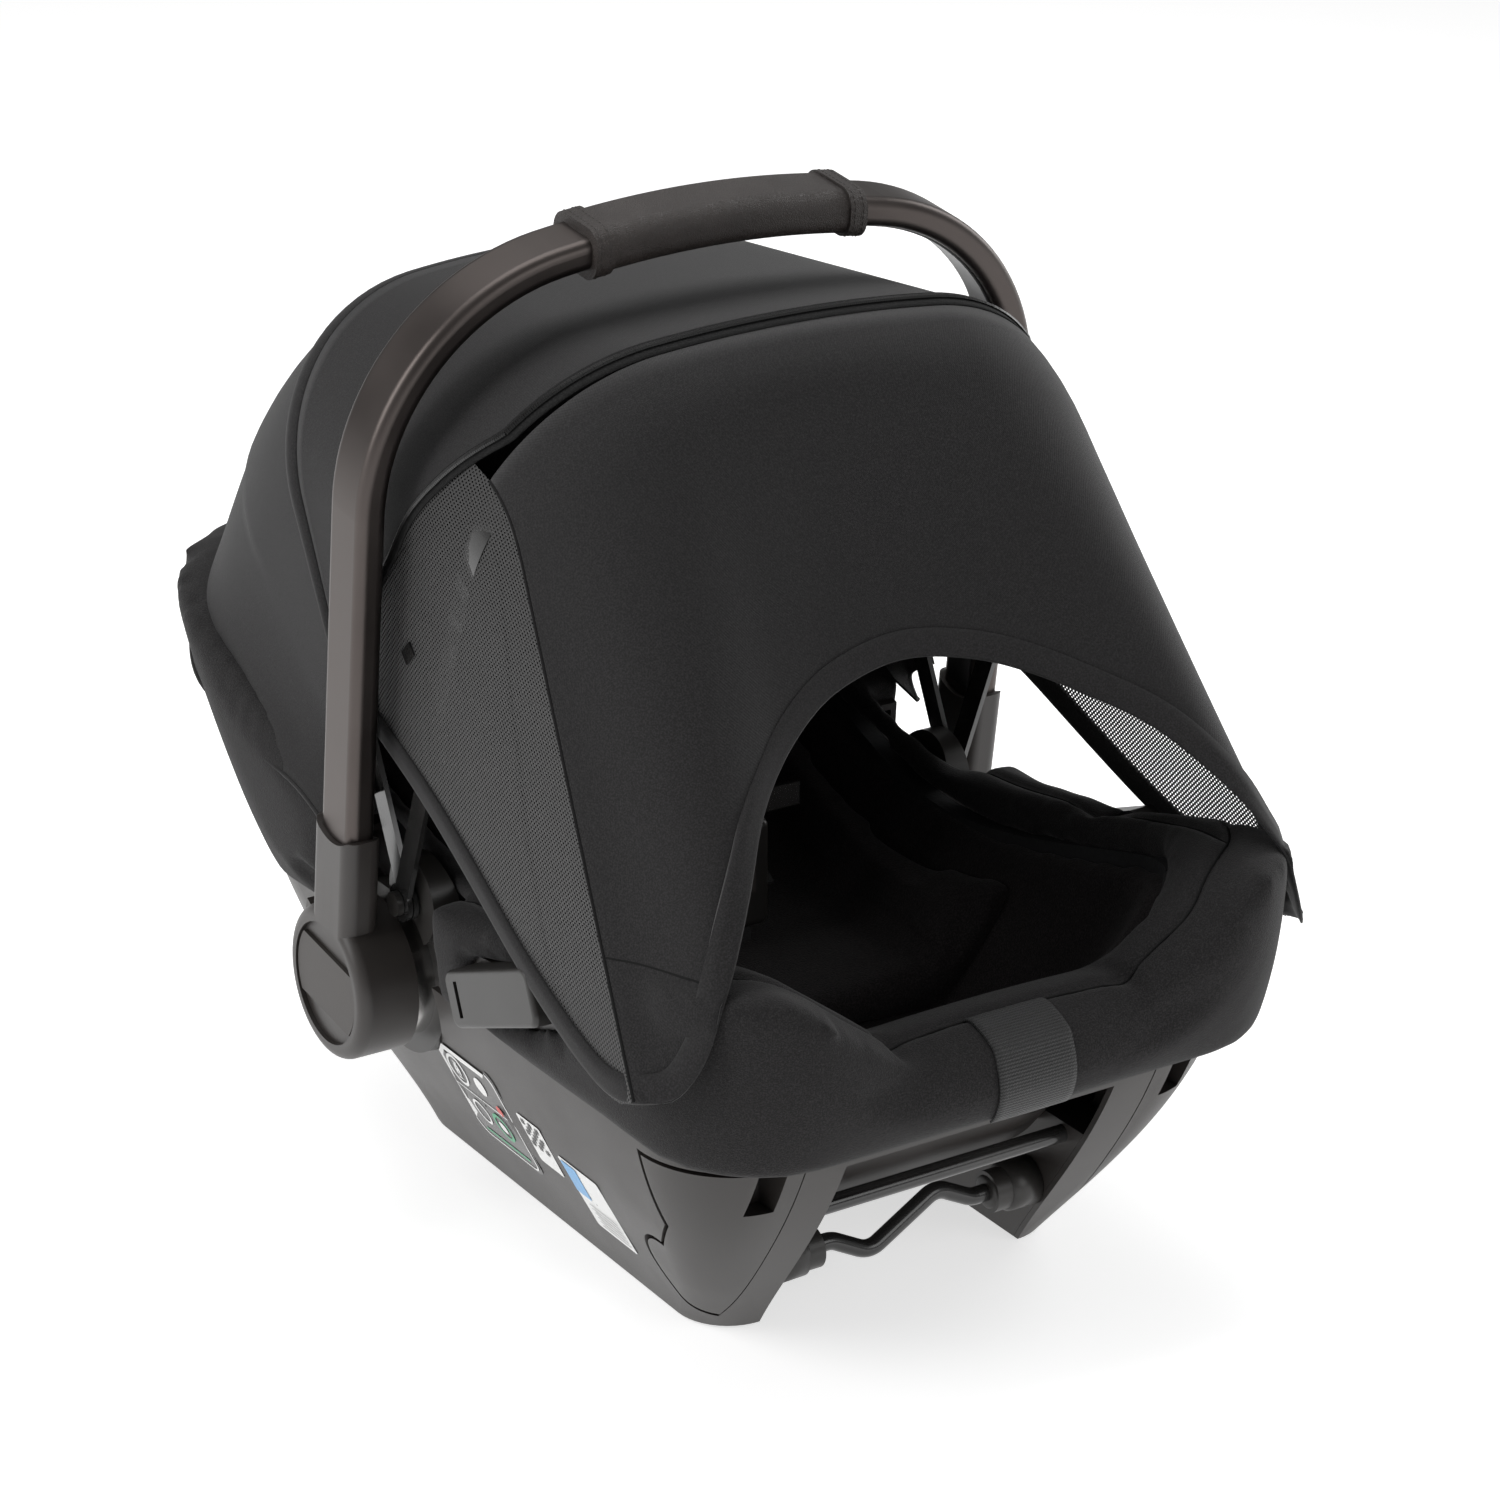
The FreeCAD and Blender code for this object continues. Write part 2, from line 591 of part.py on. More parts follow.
plate_outer = -sheet.hub_outer + 0.8
plate_inner = plate_outer + sheet.button_thick
well_floor = plate_inner + sheet.button_travel + 1
pin_bore = drum(0, 0, sheet.pin_radius + sheet.running_gap, -sheet.hub_outer + 16, -100)
socket = socket_bar.common(leg_zone).cut(dip).fuse(hub_disc)
socket = socket.cut(dish).cut(button_block(clearance, -sheet.hub_outer - 5, well_floor)).cut(pin_bore)
hub = socket.cut(tube)
pair(feature("handle_hub_left", at_hub(hub.removeSplitter())), "handle_hub")
button = button_block(0, plate_outer, plate_inner)
pair(feature("release_button_left", at_hub(button)), "release_button")

pin_long = s.hub_outer - 16.6 - s.bracket_inner
pin = rod("pivot_pin_left", -(s.hub_outer - 16.6), s.hub_at, s.hub_up, s.pin_radius, pin_long)
pair(pin, "pivot_pin")
ratchet_disc = rod("ratchet_disc", -(s.hub_inner - 0.5), s.hub_at, s.hub_up, s.ratchet_radius,
                   s.hub_inner - 0.5 - s.ratchet_inner)
ratchet_bore = rod("ratchet_bore", -s.hub_inner, s.hub_at, s.hub_up, s.pin_radius, 40)
pair(cut("ratchet_plate_left", ratchet_disc, ratchet_bore), "ratchet_plate")
bracket = drum(sheet.hub_at, sheet.hub_up, sheet.recess_radius, -sheet.ratchet_inner, -sheet.bracket_inner)
pin_hole = drum(sheet.hub_at, sheet.hub_up, sheet.pin_radius, -240, -100)
bracket = bracket.cut(pin_hole).cut(bucket_room).cut(slab(-240, -52, 184, 0, 60, 300))
pair(feature("hub_bracket_left", bracket), "hub_bracket")

holder = holder_block(0).cut(tub("shell", -wall + 0.5))
pair(feature("tab_holder_left", holder), "tab_holder")

# ---------------------------------------------------------------- stroller release tabs
tab_outline = [
    (s.tab_at, s.tab_up), (s.tab_at + s.tab_broad, s.tab_up + 6),
    (s.tab_at + s.tab_broad + 3, s.tab_up + s.tab_tall / 2),
    (s.tab_at + s.tab_broad - 4, s.tab_up + s.tab_tall), (s.tab_at, s.tab_up + s.tab_tall - 8),
]
tab = plate("release_tab_left", "YZ_Plane", tab_outline, s.tab_thick, -s.tab_outer)
pair(tab, "release_tab")

# ---------------------------------------------------------------- belt guides
guide_y = sheet.guide_at
guide_z = sheet.guide_up


def guide_block(grow, x0, x1):
    long_half = sheet.guide_long / 2 + grow
    tall_half = sheet.guide_tall / 2 + grow
    block = slab(x0, -long_half, -tall_half, x1, long_half, tall_half)
    long_edges = [e for e in block.Edges if abs(e.tangentAt(0).x) > 0.9]
    block = block.makeFillet(7, long_edges)
    block.rotate(Vector(0, 0, 0), Vector(1, 0, 0), sheet.guide_tilt)
    block.translate(Vector(0, guide_y, guide_z))
    return block


guide = guide_block(0, -sheet.guide_outer, -sheet.guide_inner)
slot = slab(-260, 34, -10, -sheet.guide_outer + 6, 34 + sheet.guide_slot, 10)
slot.rotate(Vector(0, 0, 0), Vector(1, 0, 0), sheet.guide_tilt)
slot.translate(Vector(0, guide_y, guide_z))
rim_edges = [e for e in guide.Edges if abs(e.CenterOfMass.x + sheet.guide_outer) < 0.01]
guide = guide.makeFillet(sheet.guide_round, rim_edges).cut(tub("shell", 0.02)).cut(slot)
pair(feature("belt_guide_left", guide), "belt_guide")
guide_room = both_sides(guide_block(1, -260, -sheet.guide_inner + 20))

# ---------------------------------------------------------------- seat cover and inside pads
cover_out = tub("shell", sheet.cover_side, sheet.cover_front_roll, sheet.cover_rear_roll)
cover_zone = below_rim(rise).cut(slab(-300, -420, -30, 300, 420, sheet.cover_hem_up))
shell_zone = tub("shell", hair).common(below_rim(hair))
cover = cover_out.common(cover_zone).cut(shell_zone).cut(tub("well", 0.2)).cut(side_recess)
cover = cover.cut(guide_room).cut(holder_room)
node(feature("seat_cover", max(cover.Solids, key=lambda part: part.Volume)))
pad_thick = sheet.pad_thick
seat_pad = tub("well", -0.3, drop=-0.3).cut(tub("well", -pad_thick, drop=-pad_thick))
seat_pad = seat_pad.common(below_rim(-1))
node(feature("seat_pad", seat_pad))
insert_in = pad_thick + 0.3
insert_out = insert_in + sheet.insert_thick
insert = tub("well", -insert_in, drop=-insert_in).cut(tub("well", -insert_out, drop=-insert_out))
insert = insert.common(below_rim(-16)).common(slab(-200, -150, 0, 200, 300, 400))
node(feature("infant_insert", insert))

# ---------------------------------------------------------------- foot webbing
web_half = sheet.web_wide / 2
web_zone = slab(-web_half, -420, sheet.cover_hem_up + 4, web_half, -sheet.well_crest_front + 4, 300)
web_skin = tub("shell", 12, sheet.cover_front_roll + 1.8, 8).common(below_rim(rise + 1.8))
web_core = tub("shell", 12, sheet.cover_front_roll + 0.3, 8).common(below_rim(rise + 0.3))
node(feature("foot_webbing", web_skin.cut(web_core).common(web_zone)))

# ---------------------------------------------------------------- harness
BACK_SLOPE = 32.0
slope = math.radians(BACK_SLOPE)


def on_back(low, high, along, lift, x=0.0):
    """A block laid on the sloping back, along metres up it and lifted clear of it."""
    block = slab(*low, *high)
    block.rotate(Vector(0, 0, 0), Vector(1, 0, 0), BACK_SLOPE)
    base_y = -12 + along * math.cos(slope) - lift * math.sin(slope)
    base_z = 140 + along * math.sin(slope) + lift * math.cos(slope)
    block.translate(Vector(x, base_y, base_z))
    return block


strap_half = sheet.strap_wide / 2
strap_thick = sheet.strap_thick
strap_room_low = (-strap_half - 0.3, -5, -0.3)
strap_room_high = (strap_half + 0.3, 200, strap_thick + 0.3)
straps = []
shoulder = []
for side in (-1, 1):
    x = side * sheet.strap_apart
    straps.append(on_back((-strap_half, 0, 0), (strap_half, 190, strap_thick), 0, 20, x))
    cushion = on_back((-23, 0, 0), (23, 120, 11), 62, 15.5, x)
    shoulder.append(cushion.cut(on_back(strap_room_low, strap_room_high, 0, 20, x)))
node(feature("harness_straps", Part.makeCompound(straps)))
node(feature("shoulder_pads", Part.makeCompound(shoulder)))
clip = on_back((-58, 0, 0), (58, 30, 9), 26, 16.5)
clip = clip.makeFillet(sheet.clip_round, clip.Edges)
for side in (-1, 1):
    clip = clip.cut(on_back(strap_room_low, strap_room_high, 0, 20, side * sheet.strap_apart))
node(feature("chest_clip", clip))

buckle_low_y = -62.0
buckle_low_z = 152.0
body_low = (-(s.buckle_wide / 2), buckle_low_y, buckle_low_z)
body_high = (s.buckle_wide / 2, s.buckle_thick + buckle_low_y, s.buckle_tall + buckle_low_z)
buckle_body = box("buckle_body", body_low, body_high)
room = s.press_side / 2 + 0.3
press_up = buckle_low_z + 34
press_room = box("press_room", (-room, buckle_low_y - 1, press_up - room),
                 (room, s.press_thick + s.press_travel + buckle_low_y + 1, room + press_up))
buckle_shape = rounded("buckle_shape", buckle_body, sheet.buckle_round, lambda edge: True)
node(cut("buckle_housing", buckle_shape, press_room))
press_half = s.press_side / 2
node(box("buckle_press", (-press_half, buckle_low_y - 0.8, press_up - press_half),
         (press_half, s.press_thick + buckle_low_y - 0.8, press_half + press_up)))
node(box("crotch_strap", (-14, buckle_low_y + 9, 137), (14, buckle_low_y + 12, buckle_low_z)))
tongues = []
for side in (-1, 1):
    tongue_ends = sorted((side * 8, side * 46))
    tongues.append(slab(tongue_ends[0], buckle_low_y + 8, 218.1, tongue_ends[1], buckle_low_y + 11, 232))
node(feature("buckle_tongues", Part.makeCompound(tongues)))
adjuster = slab(-26, -204, 114.5, 26, -166, 126)
adjuster = adjuster.makeFillet(sheet.clip_round, adjuster.Edges)
node(feature("adjuster_housing", adjuster.cut(slab(-12.4, -196.4, 122.8, 12.4, -177.6, 130))))
node(box("adjuster_press", (-12, -196, 126.4), (12, -178, 131)))
node(rounded("head_pillow", feature("pillow_block", on_back((-62, 0, 0), (62, 84, 26), 192, 12)), 11.0,
             lambda edge: True))

# ---------------------------------------------------------------- canopy mounts and bows

def canopy_arch(inset):
    """Edges of the canopy's arch, inset inwards, in a plane through its axis."""
    return (sheet.canopy_half - inset, sheet.canopy_radius - inset,
            sheet.canopy_crown - inset, sheet.canopy_corner - inset)


def arch_strip(inset, thick, foot):
    """A flat U-shaped face of the canopy's arch."""
    return flat_arch(canopy_arch(inset), canopy_arch(inset + thick), foot)


def at_canopy(shape, tilt=0.0):
    """Tilts a shape round the canopy axis, towards the feet when tilt is positive."""
    shape.rotate(Vector(0, 0, 0), Vector(1, 0, 0), tilt)
    shape.translate(Vector(0, sheet.canopy_at, sheet.canopy_up))
    return shape


cloth = sheet.cloth_thick
bow_thick = sheet.bow_thick
gap = sheet.stack_gap
front_inset = cloth + gap
rear_inset = front_inset + bow_thick + gap
dome_inset = rear_inset + bow_thick + gap
stub = sheet.stub_radius


def bow(inset):
    """A flat strip bow with an eye at each end, upright."""
    broad = sheet.bow_broad
    body = arch_strip(inset, bow_thick, 8).extrude(Vector(0, broad, 0))
    body.translate(Vector(0, -broad / 2, 0))
    x_out = sheet.canopy_half - inset
    eye = drum(0, 0, sheet.bow_eye, x_out - bow_thick, x_out)
    hole = drum(0, 0, stub + sheet.running_gap, 0, 240)
    return body.fuse(both_sides(eye)).cut(both_sides(hole)).removeSplitter()


node(feature("front_bow", at_canopy(bow(front_inset), sheet.front_bow_tilt)))
node(feature("rear_bow", at_canopy(bow(rear_inset), sheet.rear_bow_tilt)))

mount_zone = slab(-sheet.mount_outer, -46, 160, -sheet.mount_inner, 48, 226)
mount = mount_zone.cut(drum(sheet.hub_at, sheet.hub_up, sheet.recess_radius + 0.4, -300, 0))
mount = mount.common(drum(sheet.canopy_at, sheet.canopy_up, 26, -300, 0))
mount_pin = drum(sheet.canopy_at, sheet.canopy_up, stub, -sheet.canopy_half + 2.4, -sheet.mount_outer)
mount_head = drum(
    sheet.canopy_at, sheet.canopy_up, stub + 3, -sheet.canopy_half - 1.4, -sheet.canopy_half + 2.4
)
mount = mount.cut(bucket_room)
pair(feature("canopy_mount_left", mount.fuse(mount_pin).fuse(mount_head).removeSplitter()), "canopy_mount")

# ---------------------------------------------------------------- canopy cloth
dome_face = arch_strip(dome_inset, cloth, sheet.dome_hole)
dome = dome_face.revolve(Vector(0, 0, 0), Vector(1, 0, 0), -sheet.dome_sweep)
dome = at_canopy(dome, sheet.rear_bow_tilt + 1).cut(below_rim(rise + 2))
node(feature("canopy_rear_dome", dome))


def arch_ribbon(inset, tilt, foot):
    """Closed thin U-shaped wire at a tilt, for lofting the cloth between two bows."""
    face = arch_strip(inset, cloth, foot)
    return at_canopy(face.OuterWire, tilt)


bow_clear = math.degrees(math.atan2(sheet.bow_broad / 2 + 2, sheet.canopy_radius))
front_ribbon = arch_ribbon(0, sheet.front_bow_tilt - bow_clear, 100)
rear_ribbon = arch_ribbon(rear_inset - front_inset, sheet.rear_bow_tilt + bow_clear, 100)
node(feature("canopy_mid_panel", Part.makeLoft([front_ribbon, rear_ribbon], True, True)))

# ---------------------------------------------------------------- drape and its mesh sides

def ribbon_between(outer, inner):
    ends = [
        Part.makeLine(outer[0].Vertexes[0].Point, inner[0].Vertexes[0].Point),
        Part.makeLine(outer[-1].Vertexes[-1].Point, inner[-1].Vertexes[-1].Point),
    ]
    return Part.Wire(Part.__sortEdges__(outer + inner + ends))


top_tilt = sheet.front_bow_tilt + 2.5
top_outline = ribbon_between(arch_wire(*canopy_arch(0), 0, 1), arch_wire(*canopy_arch(cloth), 0, 1))
top_ribbon = at_canopy(top_outline, top_tilt)
hem_fall = math.hypot(sheet.hem_at - sheet.tip_at, sheet.hem_up - sheet.tip_up)
hem_turn = math.degrees(math.atan2(sheet.hem_at - sheet.tip_at, sheet.hem_up - sheet.tip_up))


def hem_arch(inset):
    """Arch of the hem: its corner arcs end level with the tips."""
    corner = sheet.hem_corner
    reach_x = sheet.tip_half - corner
    crown = (hem_fall ** 2 + reach_x ** 2 - corner ** 2) / (2 * (hem_fall - corner))
    return arch_wire(sheet.tip_half - inset, hem_fall - inset, crown - inset, corner - inset, 0, 1)


hem = ribbon_between(hem_arch(0), hem_arch(cloth))
hem.rotate(Vector(0, 0, 0), Vector(1, 0, 0), -hem_turn)
hem.translate(Vector(0, sheet.tip_at, sheet.tip_up))
node(feature("drape", Part.makeLoft([top_ribbon, hem], True, True)))

net_side = sheet.canopy_half + 1.6
zip_low = Vector(-net_side, sheet.zip_low_at, sheet.zip_low_up)
zip_high = Vector(-net_side, sheet.zip_high_at, sheet.zip_high_up)
net_tip = Vector(-sheet.tip_half - 0.4, sheet.tip_at + 10, sheet.tip_up + 2)
net = Part.Face(Part.makePolygon([zip_high, zip_low, net_tip, zip_high]))
net_left = feature("mesh_panel_left", net.extrude(Vector(-1.2, 0, 0)))
pair(net_left, "mesh_panel")

zip_run = (zip_high - zip_low).normalize()
slider = slab(-sheet.canopy_half - 3.4, -4, 4, -sheet.canopy_half - 0.4, 4, 16)
slider.translate(Vector(0, 9, sheet.zip_rest))
slider.rotate(Vector(0, 0, 0), Vector(1, 0, 0), math.degrees(math.atan2(-zip_run.y, zip_run.z)))
slider.translate(Vector(0, sheet.zip_low_at, sheet.zip_low_up))
node(feature("zip_slider", slider))

# ---------------------------------------------------------------- labels
label_zones = [
    slab(-260, -78, 40, 0, -6, 112), slab(-260, -118, 62, 0, -92, 96), slab(-260, -170, 34, 0, -128, 84)
]
skin_out = tub("shell", 0.5).cut(tub("shell", 0.02))
labels = []
for zone in label_zones:
    labels.append(skin_out.common(zone).cut(side_recess))
node(feature("side_labels", Part.makeCompound(labels)))

# ---------------------------------------------------------------- check and write
doc.recompute()
for thing in doc.Objects:
    if "Invalid" in thing.State or "Error" in thing.State:
        raise RuntimeError(f"{thing.Label} did not compute")
os.makedirs("parts", exist_ok=True)
for thing in nodes:
    if thing.Shape.isNull() or not thing.Shape.isValid():
        raise RuntimeError(f"{thing.Label} has no valid shape")
    thing.Shape.exportStep(f"parts/{thing.Label}.step")
print(len(nodes), "sub-parts written")
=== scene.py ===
"""Looks of an infant car seat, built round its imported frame."""
import json
import math

import bpy
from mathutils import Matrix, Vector
from mathutils.bvhtree import BVHTree
from mathutils.kdtree import KDTree


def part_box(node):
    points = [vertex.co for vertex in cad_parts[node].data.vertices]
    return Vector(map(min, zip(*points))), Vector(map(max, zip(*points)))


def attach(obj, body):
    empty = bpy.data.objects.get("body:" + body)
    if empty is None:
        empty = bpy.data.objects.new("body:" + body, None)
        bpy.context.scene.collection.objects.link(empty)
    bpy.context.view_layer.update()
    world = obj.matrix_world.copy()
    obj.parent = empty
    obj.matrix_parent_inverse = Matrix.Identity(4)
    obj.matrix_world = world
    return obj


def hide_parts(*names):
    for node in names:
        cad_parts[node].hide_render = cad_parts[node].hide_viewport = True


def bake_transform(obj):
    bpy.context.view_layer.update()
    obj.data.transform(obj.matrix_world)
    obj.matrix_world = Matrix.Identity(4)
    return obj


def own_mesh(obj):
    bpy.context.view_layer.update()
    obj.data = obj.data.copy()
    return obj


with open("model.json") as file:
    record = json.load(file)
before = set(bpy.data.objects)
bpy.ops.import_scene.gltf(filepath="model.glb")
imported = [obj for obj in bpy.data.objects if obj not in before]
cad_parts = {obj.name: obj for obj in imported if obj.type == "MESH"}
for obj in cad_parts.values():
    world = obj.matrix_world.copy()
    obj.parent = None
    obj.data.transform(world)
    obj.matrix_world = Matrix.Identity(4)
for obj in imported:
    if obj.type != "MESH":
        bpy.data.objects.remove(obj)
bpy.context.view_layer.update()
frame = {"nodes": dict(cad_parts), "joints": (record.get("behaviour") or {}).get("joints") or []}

joints = {joint["name"]: joint for joint in frame["joints"]}

# ---------------------------------------------------------------- studio
# A white sweep, four large soft boxes and an evenly lit room, with the camera a little above
# the seat at its left front corner.
scene = bpy.context.scene
swing = math.radians(-32.556)
climb = math.radians(21.718)
look = Vector((math.sin(swing) * math.cos(climb), -math.cos(swing) * math.cos(climb), math.sin(climb)))
camera = bpy.data.objects.new("camera", bpy.data.cameras.new("camera"))
camera.data.lens = 98.6
camera.data.sensor_width = 36
camera.data.clip_end = 60
camera.location = (-1.1383, -1.8566, 1.1099)
camera.rotation_mode = "QUATERNION"
camera.rotation_quaternion = (-look).to_track_quat("-Z", "Y")
scene.collection.objects.link(camera)
scene.camera = camera
scene.view_settings.view_transform = "Standard"


def soft_box(name, place, size, power, aim=(0, 0, 0.25)):
    lamp = bpy.data.lights.new(name, "AREA")
    lamp.shape = "RECTANGLE"
    lamp.size, lamp.size_y = size
    lamp.energy = power
    thing = bpy.data.objects.new(name, lamp)
    thing.location = place
    thing.rotation_mode = "QUATERNION"
    thing.rotation_quaternion = (Vector(aim) - Vector(place)).to_track_quat("-Z", "Y")
    scene.collection.objects.link(thing)


soft_box("box_left", (-2.5, 0.5, 1.7), (1.2, 2.0), 40)
soft_box("box_top", (0.1, 0.7, 2.9), (2.4, 2.0), 42)
soft_box("box_front", (0.8, -3.0, 1.5), (2.0, 1.4), 17)
soft_box("box_right", (2.4, 0.3, 1.2), (0.9, 1.8), 20)
world = bpy.data.worlds.new("room")
world.use_nodes = True
world.node_tree.nodes["Background"].inputs["Color"].default_value = (1.0, 1.0, 1.0, 1)
world.node_tree.nodes["Background"].inputs["Strength"].default_value = 0.28
scene.world = world


def node(tree, kind, inputs=None, **settings):
    """Adds a shader node; its inputs are sockets to link or plain values."""
    made = tree.nodes.new(kind)
    for key, value in settings.items():
        setattr(made, key, value)
    for key, value in (inputs or {}).items():
        if isinstance(value, bpy.types.NodeSocket):
            tree.links.new(value, made.inputs[key])
        else:
            made.inputs[key].default_value = value
    return made


def math_node(tree, operation, a, b=0.0, c=0.0, clamp=False):
    return node(tree, "ShaderNodeMath", {0: a, 1: b, 2: c}, operation=operation, use_clamp=clamp).outputs[0]


def mix_colour(tree, share, a, b):
    return node(tree, "ShaderNodeMix", {0: share, 6: a, 7: b}, data_type="RGBA").outputs[2]


def spread(tree, value, low, high, to_low=0.0, to_high=1.0):
    """Stretches a value from one range to another."""
    return node(tree, "ShaderNodeMapRange", {0: value, 1: low, 2: high, 3: to_low, 4: to_high}).outputs[0]


def plain_material(name):
    material = bpy.data.materials.new(name)
    material.use_nodes = True
    return material, material.node_tree, material.node_tree.nodes["Principled BSDF"]


floor_material, floor_tree, floor_shader = plain_material("studio_floor")
cloud = node(floor_tree, "ShaderNodeTexNoise", {"Scale": 3.0})
tint = mix_colour(floor_tree, cloud.outputs[0], (0.76, 0.76, 0.76, 1), (0.79, 0.79, 0.79, 1))
floor_tree.links.new(tint, floor_shader.inputs["Base Color"])
floor_shader.inputs["Roughness"].default_value = 0.9
floor_shader.inputs["Specular IOR Level"].default_value = 0.1
floor_shader.inputs["Emission Color"].default_value = (1.0, 1.0, 1.0, 1)
floor_shader.inputs["Emission Strength"].default_value = 0.64
floor_mesh = bpy.data.meshes.new("studio_floor")
floor_half = 30.0
floor_mesh.from_pydata([(-floor_half, -floor_half, 0), (floor_half, -floor_half, 0),
                        (floor_half, floor_half, 0), (-floor_half, floor_half, 0)], [], [(0, 1, 2, 3)])
floor_mesh.materials.append(floor_material)
floor = bpy.data.objects.new("studio_floor", floor_mesh)
scene.collection.objects.link(floor)

# ---------------------------------------------------------------- shell, rails and arms
# The tub, the two rocker rails and the fold-out anchor arms are injection mouldings in a dark
# brown-black polypropylene with a fine spark-eroded texture, a little polished along the edges.


def effect(name, inputs, outputs):
    """An empty shader node group with named inputs and outputs."""
    kinds = {"colour": "NodeSocketColor", "value": "NodeSocketFloat"}
    group = bpy.data.node_groups.new(name, "ShaderNodeTree")
    for label, (kind, value) in inputs.items():
        socket = group.interface.new_socket(name=label, in_out="INPUT", socket_type=kinds[kind])
        socket.default_value = value
    for label, kind in outputs.items():
        group.interface.new_socket(name=label, in_out="OUTPUT", socket_type=kinds[kind])
    return group, group.nodes.new("NodeGroupInput").outputs, group.nodes.new("NodeGroupOutput").inputs


def finish(name, group, values, bump, plain):
    """A material that puts one shared effect, with its own values, into a Principled shader."""
    material, tree, shader = plain_material(name)
    placed = tree.nodes.new("ShaderNodeGroup")
    placed.node_tree = group
    for key, value in values.items():
        placed.inputs[key].default_value = (*value, 1) if isinstance(value, tuple) else value
    tree.links.new(placed.outputs["Colour"], shader.inputs["Base Color"])
    tree.links.new(placed.outputs["Roughness"], shader.inputs["Roughness"])
    strength, depth = bump
    relief = node(tree, "ShaderNodeBump", {"Strength": strength, "Distance": depth,
                                           "Height": placed.outputs["Height"]})
    tree.links.new(relief.outputs[0], shader.inputs["Normal"])
    for key, value in plain.items():
        shader.inputs[key].default_value = value
    return material


grained, given, gives = effect(
    "moulded_grain",
    {"Body": ("colour", (0.03, 0.03, 0.03, 1)), "Worn": ("colour", (0.1, 0.1, 0.1, 1)),
     "Grain": ("value", 1500.0), "Dullness": ("value", 0.45), "Wear": ("value", 0.3)},
    {"Colour": "colour", "Roughness": "value", "Height": "value"})
place = node(grained, "ShaderNodeTexCoord").outputs["Object"]
fine = node(grained, "ShaderNodeTexNoise",
            {"Vector": place, "Scale": given["Grain"], "Detail": 3.0}).outputs[0]
broad = node(grained, "ShaderNodeTexNoise", {"Vector": place, "Scale": 14.0, "Detail": 5.0}).outputs[0]
ridge = node(grained, "ShaderNodeNewGeometry").outputs["Pointiness"]
edge = spread(grained, ridge, 0.52, 0.60)
rubbed = math_node(grained, "MULTIPLY", edge, spread(grained, broad, 0.35, 0.7), clamp=True)
rubbed = math_node(grained, "MULTIPLY", rubbed, given["Wear"])
mottled = math_node(grained, "MULTIPLY", spread(grained, broad, 0.3, 0.7), 0.25)
shade = mix_colour(grained, mottled, given["Body"], given["Worn"])
grained.links.new(mix_colour(grained, rubbed, shade, given["Worn"]), gives["Colour"])
rough = math_node(grained, "ADD", given["Dullness"], spread(grained, broad, 0.3, 0.7, -0.05, 0.05))
grained.links.new(math_node(grained, "SUBTRACT", rough, math_node(grained, "MULTIPLY", rubbed, 0.12)),
                  gives["Roughness"])
grained.links.new(fine, gives["Height"])

shell_plastic = finish(
    "shell_plastic", grained,
    {"Body": (0.020, 0.0172, 0.0158), "Worn": (0.052, 0.046, 0.043), "Grain": 1700.0, "Dullness": 0.42,
     "Wear": 0.35}, (0.35, 0.00025), {"Specular IOR Level": 0.55})
dark_plastic = finish(
    "dark_plastic", grained,
    {"Body": (0.017, 0.016, 0.015), "Worn": (0.05, 0.046, 0.043), "Grain": 1300.0, "Dullness": 0.38,
     "Wear": 0.3}, (0.3, 0.0002), {"Specular IOR Level": 0.5})


def dress(material, *names):
    """Gives carried-over nodes their finish."""
    for name in names:
        mesh = frame["nodes"][name].data
        mesh.materials.clear()
        mesh.materials.append(material)


def both(name):
    return [f"{name}_left", f"{name}_right"]


dress(shell_plastic, "outer_shell", "seat_bucket", *both("rocker_rail"), *both("anchor_arm"))
dress(dark_plastic, *both("hub_bracket"), *both("tab_holder"), *both("canopy_mount"))

rubber = finish(
    "pad_rubber", grained,
    {"Body": (0.012, 0.012, 0.012), "Worn": (0.03, 0.03, 0.03), "Grain": 900.0, "Dullness": 0.75,
     "Wear": 0.2}, (0.5, 0.0004), {"Specular IOR Level": 0.35})
dress(rubber, "rail_pads")
foam = finish(
    "liner_foam", grained,
    {"Body": (0.02, 0.02, 0.021), "Worn": (0.05, 0.05, 0.052), "Grain": 420.0, "Dullness": 0.85,
     "Wear": 0.2}, (0.6, 0.0008), {"Specular IOR Level": 0.2})
dress(foam, "foam_liner")

# ---------------------------------------------------------------- cross bars and bushings
# Two round steel bars, cathodic-dip painted gloss black, tie the arms; the lower one is bent in a
# wave and turns in ribbed sleeves under the shell.
black_steel = finish(
    "painted_steel", grained,
    {"Body": (0.008, 0.008, 0.008), "Worn": (0.05, 0.048, 0.046), "Grain": 500.0, "Dullness": 0.22,
     "Wear": 0.3}, (0.1, 0.0002), {"Coat Weight": 0.4, "Coat Roughness": 0.12})
dress(black_steel, "lower_cross_bar", "upper_cross_bar")
dress(dark_plastic, "bar_bushings")


def mesh_piece(name, points, faces, material, smooth=True):
    """A new object from points and faces."""
    mesh = bpy.data.meshes.new(name)
    mesh.from_pydata([tuple(point) for point in points], [], faces)
    mesh.materials.append(material)
    mesh.validate()
    if smooth:
        mesh.shade_smooth()
    thing = bpy.data.objects.new(name, mesh)
    scene.collection.objects.link(thing)
    return thing


